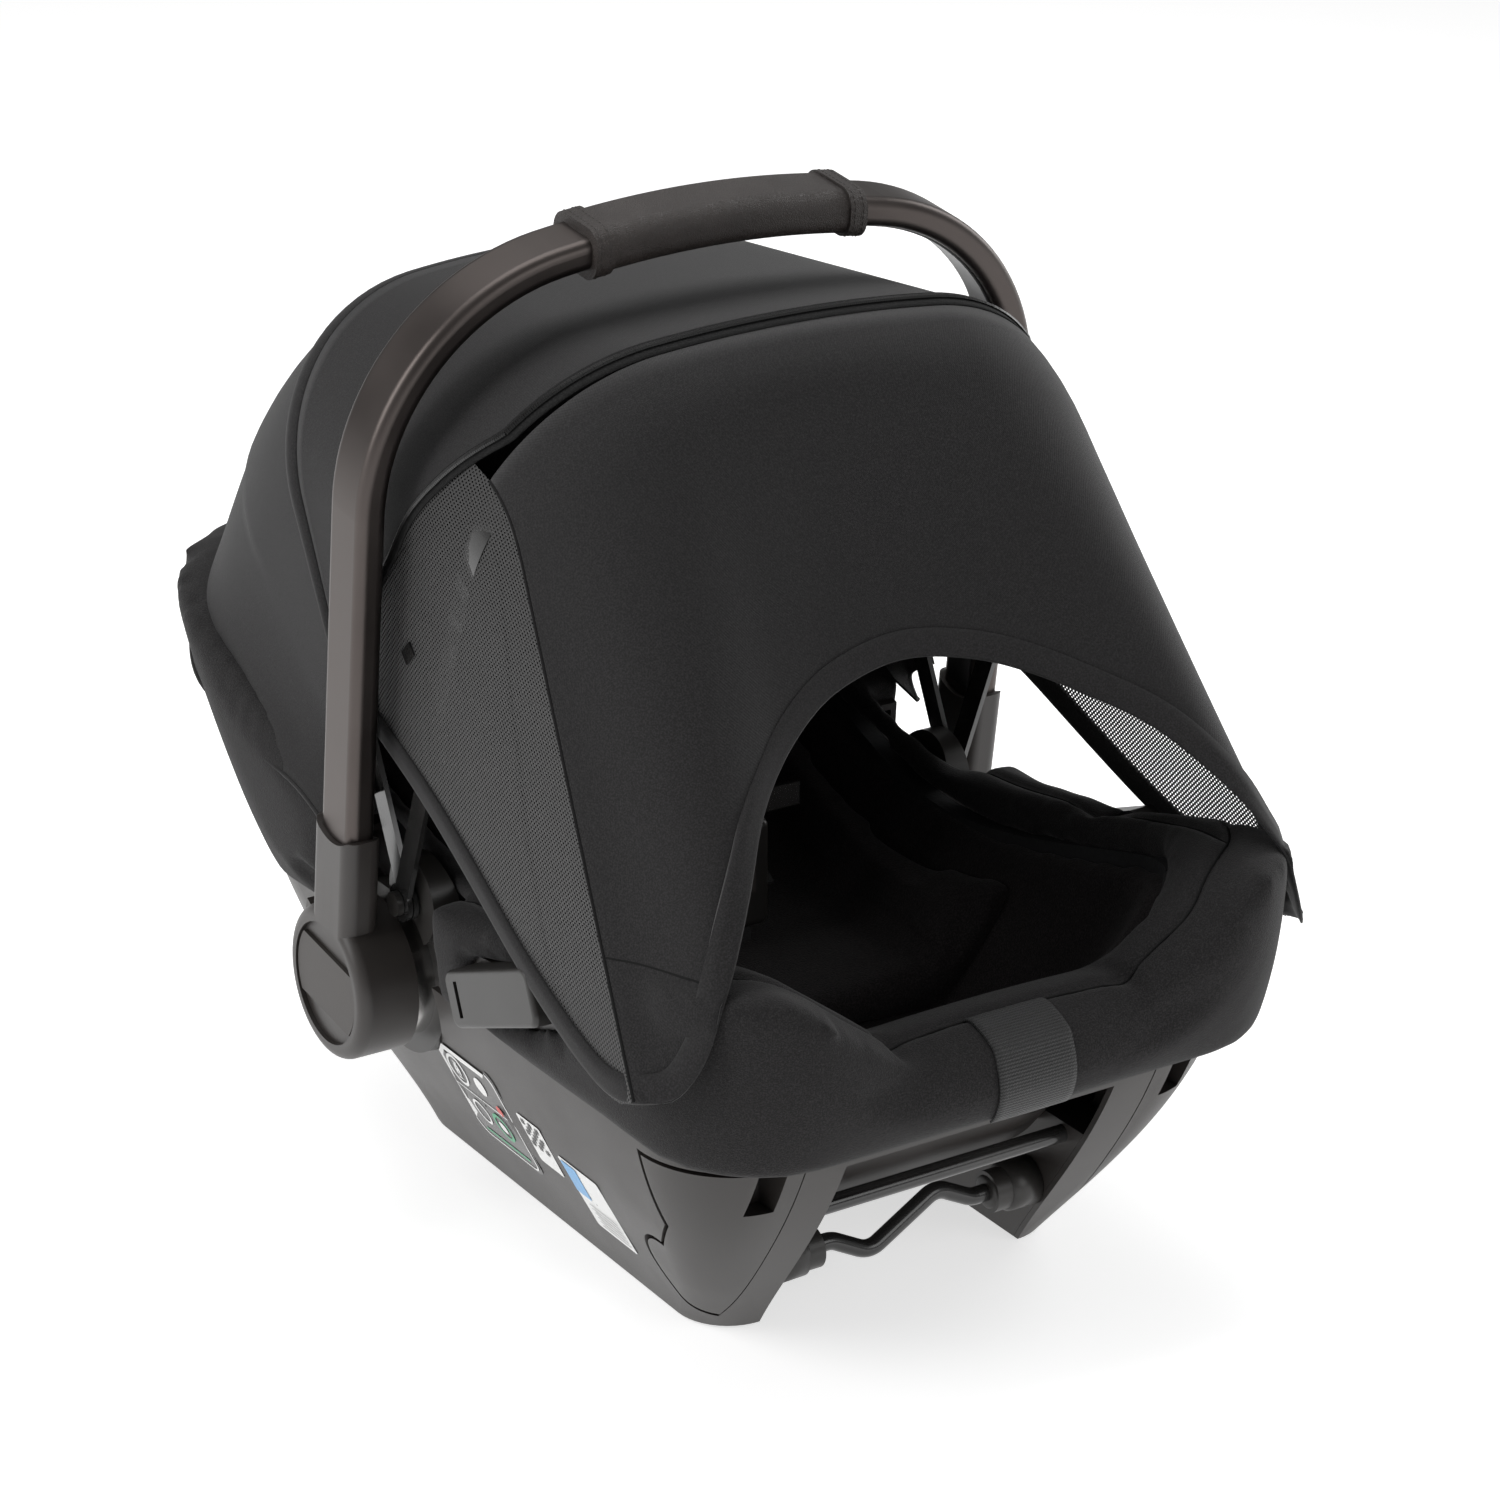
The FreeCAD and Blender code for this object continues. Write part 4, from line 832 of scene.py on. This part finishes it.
hood_foot = 0.062
hood_flare = 0.020
rim_clearance = 0.0022
flare_from = 0.55
HOOD_WIDE, HOOD_LONG = 96, 32
EASED_FROM = HOOD_LONG // 2
rows = []
for v in range(HOOD_LONG + 1):
    row = []
    for u in range(HOOD_WIDE + 1):
        share = -1 + 2 * u / HOOD_WIDE
        last = rim_tilt(share, dome_inset - 0.006, hood_foot)
        t = v / HOOD_LONG
        tilt = (rear_tilt - 1.2) + (last - rear_tilt + 1.2) * t
        point = canopy_point(share, tilt, dome_inset - 0.006 + 0.006 * t, hood_foot)
        flare = hood_flare * max(0.0, (t - flare_from) / (1 - flare_from)) ** 2
        outward = Vector((point.x * 0.6, point.y - canopy_axis.y, 0)).normalized()
        point = point + outward * flare - Vector((0, 0, flare * 0.9))
        row.append(outside(point, rim_clearance) if abs(share) < 0.82 else point)
    rows.append(row)
for turn in range(10):
    for v in range(EASED_FROM, HOOD_LONG + 1):
        old = [Vector(point) for point in rows[v]]
        for u in range(1, HOOD_WIDE):
            rows[v][u] = old[u] * 0.5 + (old[u - 1] + old[u + 1]) * 0.25
for turn in range(4):
    old = [[Vector(point) for point in row] for row in rows]
    for v in range(EASED_FROM + 2, HOOD_LONG):
        for u in range(HOOD_WIDE + 1):
            rows[v][u] = old[v][u] * 0.5 + (old[v - 1][u] + old[v + 1][u]) * 0.25
hood = cloth_grid("rear_hood_cloth", rows, canopy_cloth, 0.0016)
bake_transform(hood)
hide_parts("canopy_rear_dome")


sleeve_rows = []
for v in range(11):
    t = v / 10
    tilt = rear_tilt - 0.4 - 3.4 * t
    swell = 0.0032 * math.sin(math.pi * t) ** 0.7
    sleeve_rows.append([canopy_point(-1 + 2 * u / 96, tilt, 0.0032 - swell, hood_foot) for u in range(97)])
sleeve = cloth_grid("rear_bow_sleeve", sleeve_rows, canopy_cloth, 0.0012)
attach(sleeve, "rear_bow")

for name, line in (("rear_sleeve_seam_front", sleeve_rows[0]), ("rear_sleeve_seam_back", sleeve_rows[-1])):
    seam = tube_along(name, line, 0.0011, seam_thread, 6)
    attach(seam, "rear_bow")
hood_piping = tube_along("hood_piping", rows[-1], 0.0016, canopy_cloth)
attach(hood_piping, "shell")

zip_tilts = [(0.0, -9.0), (0.10, -6.0), (0.16, -6.0), (0.208, 4.0), (0.26, 12.0), (0.302, 17.7), (0.36, 18.8)]


def zip_tilt(up):
    """Tilt of the zip line at a height above the canopy axis, in the arch's own plane."""
    for (z0, t0), (z1, t1) in zip(zip_tilts, zip_tilts[1:]):
        if up <= z1:
            share = (up - z0) / (z1 - z0)
            return t0 + (t1 - t0) * share
    return zip_tilts[-1][1]


mid_foot = 0.098
mid_rows = []
front_edge = []
for u in range(129):
    share = -1 + 2 * u / 128
    x, up = arch_point(share, canopy_half, canopy_radius, canopy_crown, canopy_corner, mid_foot)
    front_edge.append(canopy_point(share, zip_tilt(up), 0.0, mid_foot))
rear_edge = [canopy_point(-1 + 2 * u / 128, rear_tilt - 0.3, 0.0028, mid_foot) for u in range(129)]
for v in range(25):
    t = v / 24
    row = []
    for back, front in zip(rear_edge, front_edge):
        point = back.lerp(front, t)
        row.append(point)
    mid_rows.append(row)
mid = cloth_grid("middle_hood_cloth", mid_rows, canopy_cloth, 0.0014)
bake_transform(mid)
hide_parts("canopy_mid_panel")

# ---------------------------------------------------------------- drape, net sides and binding
# A stretch-woven drape falls from the front bow to two tips beside the feet, with see-through
# net gores at the sides and one bound, top-stitched edge all the way round.
hem_half = curve_through([(-0.044, -0.225, 0.361), (0, -0.219, 0.368), (0.044, -0.225, 0.361),
                          (0.072, -0.237, 0.351), (0.096, -0.252, 0.339), (0.122, -0.275, 0.324),
                          (0.142, -0.297, 0.303), (0.158, -0.312, 0.283), (0.172, -0.322, 0.260),
                          (0.182, -0.325, 0.238), (0.190, -0.322, 0.219), (0.199, -0.314, 0.205),
                          (0.2115, -0.299, 0.202)])[10:]
hem_spans = [0.0]
for a, b in zip(hem_half, hem_half[1:]):
    hem_spans.append(hem_spans[-1] + (b - a).length)


def hem_point(share):
    """A point of the drape's hem, from the middle (0) to a tip (-1 or 1)."""
    wanted = abs(share) * hem_spans[-1]
    after = 1
    while after < len(hem_spans) - 1 and hem_spans[after] < wanted:
        after += 1
    part = (wanted - hem_spans[after - 1]) / (hem_spans[after] - hem_spans[after - 1])
    point = hem_half[after - 1].lerp(hem_half[after], part)
    return Vector((math.copysign(point.x, share) if share else 0.0, point.y, point.z))


seam_top_x = 0.176
drape_tilt = front_tilt + 2.5
top_share = 1.0
while abs(arch_point(top_share, canopy_half, canopy_radius, canopy_crown, canopy_corner,
                     mid_foot)[0]) > seam_top_x:
    top_share -= 0.002

DRAPE_WIDE, DRAPE_LONG = 128, 44
drape_rows = []
for v in range(DRAPE_LONG + 1):
    t = v / DRAPE_LONG
    row = []
    for u in range(DRAPE_WIDE + 1):
        share = -1 + 2 * u / DRAPE_WIDE
        top = canopy_point(share * top_share, drape_tilt, -0.0006, 0.098)
        over = canopy_point(share * top_share, zip_tilts[-1][1] + 0.9, -0.0006, 0.098)
        hem = hem_point(share)
        bend = 0.09
        s = t
        if s < bend:
            k = s / bend
            joint = top.lerp(hem, bend)
            point = over.lerp(top, k).lerp(top.lerp(joint, k), k)
        else:
            point = top.lerp(hem, s)
        row.append(outside(point, 0.0028) if s > 0.5 else point)
    drape_rows.append(row)
drape = cloth_grid("front_drape_cloth", drape_rows, canopy_cloth, 0.0012)
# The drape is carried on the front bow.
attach(drape, "front_bow")
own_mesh(drape)
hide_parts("drape")

netted, given, gives = effect(
    "net_holes", {"Pitch": ("value", 0.0021), "Bar": ("value", 0.42)}, {"Cover": "value", "Height": "value"})
place = node(netted, "ShaderNodeTexCoord").outputs["Object"]
parts = node(netted, "ShaderNodeSeparateXYZ", {0: place})
turns = math_node(netted, "DIVIDE", 6.28318, given["Pitch"])
first = math_node(netted, "COSINE", math_node(netted, "MULTIPLY", math_node(
    netted, "ADD", parts.outputs[1], parts.outputs[2]), turns))
second = math_node(netted, "COSINE", math_node(netted, "MULTIPLY", math_node(
    netted, "SUBTRACT", parts.outputs[1], parts.outputs[2]), turns))
holes = math_node(netted, "MULTIPLY", math_node(netted, "ADD", first, second), 0.5)
netted.links.new(spread(netted, holes, given["Bar"], math_node(netted, "ADD", given["Bar"], 0.18), 1.0, 0.0),
                 gives["Cover"])
netted.links.new(math_node(netted, "SUBTRACT", 1.0, holes), gives["Height"])
net_material, net_tree, net_shader = plain_material("side_net")
placed = net_tree.nodes.new("ShaderNodeGroup")
placed.node_tree = netted
placed.inputs["Pitch"].default_value = 0.0030
placed.inputs["Bar"].default_value = 0.38
net_tree.links.new(placed.outputs["Cover"], net_shader.inputs["Alpha"])
place = node(net_tree, "ShaderNodeTexCoord").outputs["Object"]
fuzz = node(net_tree, "ShaderNodeTexNoise", {"Vector": place, "Scale": 700.0}).outputs[0]
net_tree.links.new(mix_colour(net_tree, fuzz, (0.010, 0.0096, 0.0096, 1), (0.026, 0.025, 0.025, 1)),
                   net_shader.inputs["Base Color"])
relief = node(net_tree, "ShaderNodeBump",
              {"Strength": 0.4, "Distance": 0.0004, "Height": placed.outputs["Height"]})
net_tree.links.new(relief.outputs[0], net_shader.inputs["Normal"])
net_shader.inputs["Roughness"].default_value = 0.6
net_shader.inputs["Sheen Weight"].default_value = 0.08

net_hem = [(0.191, 0.004, 0.292), (0.195, -0.052, 0.275), (0.199, -0.116, 0.247), (0.204, -0.178, 0.220),
           (0.209, -0.245, 0.199), (0.2115, -0.282, 0.195), (0.2115, -0.299, 0.202)]
bound_edges = {}
for side, label in ((-1, "left"), (1, "right")):
    back_line = []
    for step in range(41):
        share = top_share + (1 - top_share) * step / 40
        x, up = arch_point(share, canopy_half, canopy_radius, canopy_crown, canopy_corner, mid_foot)
        back_line.append(canopy_point(share * side, zip_tilt(up), -0.0005, mid_foot))
    column = 0 if side < 0 else DRAPE_WIDE
    seam_line = [point for point, along in even_steps([row[column] for row in drape_rows], 0.0085)]
    seam_end = seam_line[-1]
    hem_line = curve_through([Vector((side * x, y, z)) for x, y, z in net_hem] + [seam_end])
    hem_line = [outside(point, 0.0028) for point, along in even_steps(hem_line, (0.34 / 40))]
    rows = []
    count = 36
    for v in range(count + 1):
        t = v / count
        start = back_line[round(t * (len(back_line) - 1))]
        end_at = min(len(seam_line) - 1, round(t * (len(seam_line) - 1)))
        end = seam_line[end_at]
        row = []
        for u in range(41):
            s = u / 40
            ruled = start.lerp(end, s)
            hem = hem_line[min(len(hem_line) - 1, round(s * (len(hem_line) - 1)))]
            straight = back_line[-1].lerp(seam_line[-1], s)
            point = ruled + (hem - straight) * t
            row.append(point)
        rows.append(row)
    net = cloth_grid(f"side_net_{label}", rows, net_material)
    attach(net, "front_bow")
    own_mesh(net)
    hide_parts(f"mesh_panel_{label}")
    bound_edges[label] = rows
    gore = tube_along(f"drape_side_seam_{label}", seam_line, 0.0011, seam_thread, 8)
    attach(gore, "front_bow")
    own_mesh(gore)


def edge_band(name, line, inward, width, thick, material):
    """A folded binding that wraps an edge: line is the edge, inward points into the cloth."""
    ring = 10
    points, faces = [], []
    for index, (point, into) in enumerate(zip(line, inward)):
        along = (line[min(index + 1, len(line) - 1)] - line[max(index - 1, 0)]).normalized()
        into = (into - along * into.dot(along)).normalized()
        out = along.cross(into)
        shape = [(width, thick), (width * 0.5, thick * 1.15), (0.0025, thick), (0.0, thick * 0.7),
                 (-0.0012, 0.0), (0.0, -thick * 0.7), (0.0025, -thick), (width * 0.5, -thick * 1.15),
                 (width, -thick), (width * 0.99, 0.0)]
        for deep, off in shape:
            points.append(point + into * deep + out * off)
    for index in range(len(line) - 1):
        for corner in range(ring):
            after = (corner + 1) % ring
            base = index * ring
            faces.append((base + corner, base + after, base + ring + after, base + ring + corner))
    faces.append(tuple(range(ring)))
    faces.append(tuple(range((len(line) - 1) * ring, len(line) * ring))[::-1])
    return mesh_piece(name, points, faces, material)


edge_line = []
edge_inward = []
left_rows, right_rows = bound_edges["left"], bound_edges["right"]
for index in range(len(left_rows[-1])):
    edge_line.append(left_rows[-1][index])
    edge_inward.append(left_rows[-4][index] - left_rows[-1][index])
for index in range(1, DRAPE_WIDE):
    edge_line.append(drape_rows[-1][index])
    edge_inward.append(drape_rows[-5][index] - drape_rows[-1][index])
for index in reversed(range(len(right_rows[-1]))):
    edge_line.append(right_rows[-1][index])
    edge_inward.append(right_rows[-4][index] - right_rows[-1][index])
edge_inward = [into.normalized() for into in edge_inward]
for trial in range(6):
    eased = [(a + b * 2 + c) / 4 for a, b, c in zip(edge_line, edge_line[1:], edge_line[2:])]
    edge_line = [edge_line[0]] + eased + [edge_line[-1]]
for trial in range(10):
    edge_inward = [edge_inward[0]] + [((a + b * 2 + c) / 4).normalized() for a, b, c in
                                      zip(edge_inward, edge_inward[1:], edge_inward[2:])] + [edge_inward[-1]]
tip_seam_up = 0.262
for side, label in ((-1, "left"), (1, "right")):
    line = []
    for u in range(DRAPE_WIDE // 2):
        column = u if side < 0 else DRAPE_WIDE - u
        above = [row[column] for row in drape_rows]
        if above[-1].z > tip_seam_up:
            break
        for high, low in zip(above, above[1:]):
            if low.z <= tip_seam_up:
                share = (high.z - tip_seam_up) / (high.z - low.z)
                line.append(high.lerp(low, share))
                break
    seam = tube_along(f"tip_seam_{label}", line, 0.0009, seam_thread, 6)
    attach(seam, "front_bow")
    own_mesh(seam)

binding = edge_band("drape_binding", edge_line, edge_inward, 0.014, 0.0014, canopy_cloth)
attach(binding, "front_bow")
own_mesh(binding)

# ---------------------------------------------------------------- zip
# A black coil zip joins the net gores and the drape to the middle panel.
zip_tape = finish("zip_tape", woven,
                  {"Yarn": (0.006, 0.006, 0.006), "Fleck": (0.02, 0.02, 0.02), "Thread": 0.0005,
                   "Dullness": 0.8}, (0.5, 0.0003), {"Specular IOR Level": 0.2})
coil_gloss = finish("zip_coil", grained,
                    {"Body": (0.006, 0.006, 0.006), "Worn": (0.03, 0.03, 0.03), "Grain": 2000.0,
                     "Dullness": 0.3, "Wear": 0.2}, (0.1, 0.0001), {"Specular IOR Level": 0.6})
tape_rows = []
for v in range(5):
    shift = -0.9 + 0.5 * v
    tape_rows.append([])
    for u in range(129):
        share = -1 + 2 * u / 128
        x, up = arch_point(share, canopy_half, canopy_radius, canopy_crown, canopy_corner, mid_foot)
        tape_rows[-1].append(canopy_point(share, zip_tilt(up) + shift, -0.0012, mid_foot))
tape = cloth_grid("zip_tape_strip", tape_rows, zip_tape, 0.0008)
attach(tape, "front_bow")
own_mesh(tape)
coil_line = [a.lerp(b, 0.5) for a, b in zip(tape_rows[1], tape_rows[2])]
coil_steps = even_steps(coil_line, 0.0013)
points, faces = [], []
for index, (middle, along) in enumerate(coil_steps):
    out = Vector((middle.x, 0, middle.z - canopy_axis.z)).normalized()
    side = along.cross(out).normalized()
    out = side.cross(along)
    first = len(points)
    for at in (-0.42, 0.42):
        for wide, high in ((-0.0022, 0.0003), (-0.0015, 0.0014), (0.0015, 0.0014), (0.0022, 0.0003)):
            points.append(middle + along * (at * 0.0013) + side * wide + out * (high + 0.0004))
    faces += [(first, first + 1, first + 5, first + 4), (first + 1, first + 2, first + 6, first + 5),
              (first + 2, first + 3, first + 7, first + 6), (first + 3, first, first + 4, first + 7),
              (first + 3, first + 2, first + 1, first), (first + 4, first + 5, first + 6, first + 7)]
coil = mesh_piece("zip_coil_teeth", points, faces, coil_gloss, smooth=False)
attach(coil, "front_bow")
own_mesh(coil)
dress(black_steel, "zip_slider")

# ---------------------------------------------------------------- belt guides and films
# The lap belt guides are moulded plaques with a raised rim; the care and instruction films are
# printed polyester, here with plain fields and simple discs, bars and squares.
dress(dark_plastic, *both("belt_guide"))


def film(name, colour):
    """Printed polyester film of one ink."""
    paler = tuple(min(1.0, part * 1.12 + 0.004) for part in colour)
    return finish(name, grained,
                  {"Body": colour, "Worn": paler, "Grain": 800.0, "Dullness": 0.35, "Wear": 0.1},
                  (0.08, 0.0001), {"Specular IOR Level": 0.5})


film_grey = film("film_grey", (0.085, 0.083, 0.082))
film_white = film("film_white", (0.72, 0.72, 0.71))
film_green = film("film_green", (0.02, 0.30, 0.13))
film_red = film("film_red", (0.55, 0.04, 0.03))
film_blue = film("film_blue", (0.12, 0.34, 0.62))
film_black = film("film_black", (0.01, 0.01, 0.01))
wall_tree = surface_of(frame["nodes"]["outer_shell"])


def round_box(wide, tall, radius, steps=5):
    """Outline of a rounded rectangle about its middle."""
    outline = []
    for x, y, start in ((1, 1, 0), (-1, 1, 90), (-1, -1, 180), (1, -1, 270)):
        for step in range(steps + 1):
            turn = math.radians(start + 90 * step / steps)
            outline.append((x * (wide / 2 - radius) + radius * math.cos(turn),
                            y * (tall / 2 - radius) + radius * math.sin(turn)))
    return outline


def disc(radius, steps=28):
    return [(radius * math.cos(2 * math.pi * k / steps), radius * math.sin(2 * math.pi * k / steps))
            for k in range(steps)]


film_lift = 0.0005
ink_lift = 0.0009
wall_far = 0.32
wall_near = 0.15
wall_reach = 0.35


def film_patch(name, middle, outline, ink, lift, hollow=0.0, fills=6):
    """A thin printed shape laid on the left side wall; hollow leaves a hole of that share."""
    way = Vector((-1, 0, 0))
    points, faces = [], []
    start = hollow if hollow else 0.02
    count = len(outline)
    for ring in range(fills + 1):
        share = start + (1 - start) * ring / fills
        for a, b in outline:
            origin = Vector((0, middle[0] + share * a, middle[1] + share * b)) + way * wall_far
            hit = wall_tree.ray_cast(origin, -way, wall_reach)[0]
            if hit is None:
                hit = points[-1] - way * lift if points else origin - way * wall_near
            points.append(hit + way * lift)
    for ring in range(fills):
        for step in range(count):
            after = (step + 1) % count
            base = ring * count
            faces.append((base + step, base + after, base + count + after, base + count + step))
    if not hollow:
        faces.append(tuple(range(count)))
    patch = mesh_piece(name, points, faces, ink)
    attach(patch, "shell")
    return patch


large_middle = (-0.042, 0.076)
large = film_patch("film_large", large_middle, round_box(0.072, 0.072, 0.010), film_grey, film_lift)
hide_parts("side_labels")
film_patch("film_large_border", large_middle, round_box(0.068, 0.068, 0.009), film_white, ink_lift,
           hollow=0.965, fills=1)
for index, (y, z, size, hole, ink) in enumerate((
        (-0.026, 0.094, 0.0105, 0.80, film_white), (-0.052, 0.094, 0.0060, 0.0, film_white),
        (-0.030, 0.066, 0.0085, 0.78, film_white), (-0.054, 0.066, 0.0095, 0.74, film_green),
        (-0.054, 0.066, 0.0040, 0.0, film_white), (-0.065, 0.083, 0.0035, 0.0, film_red))):
    film_patch(f"film_disc_{index}", (y, z), disc(size), ink, ink_lift, hollow=hole, fills=2)
for index, (y, z, wide, tall, ink) in enumerate((
        (-0.042, 0.048, 0.050, 0.0022, film_green), (-0.026, 0.094, 0.006, 0.012, film_white),
        (-0.042, 0.080, 0.058, 0.0008, film_white))):
    film_patch(f"film_bar_{index}", (y, z), round_box(wide, tall, tall * 0.45), ink, ink_lift, fills=3)
film_patch("film_square", (-0.105, 0.079), round_box(0.026, 0.034, 0.002), film_white, film_lift)
check_pitch = 0.0038
for row in range(5):
    for step in range(5):
        if (row + step) % 2 == 0:
            middle = (-0.0975 - check_pitch * step, 0.092 - check_pitch * row)
            film_patch(f"film_check_{row}_{step}", middle, round_box(0.0036, 0.0036, 0.0003, 1),
                       film_black, ink_lift, fills=1)
film_patch("film_plain", (-0.149, 0.059), round_box(0.042, 0.050, 0.002), film_white, film_lift)
film_patch("film_plain_field", (-0.138, 0.071), round_box(0.016, 0.022, 0.001), film_blue, ink_lift)
rule_pitch = 0.0032
for row in range(6):
    film_patch(f"film_rule_{row}", (-0.152, 0.054 - rule_pitch * row),
               round_box(0.030, 0.0006, 0.0002, 1), film_grey, ink_lift, fills=2)
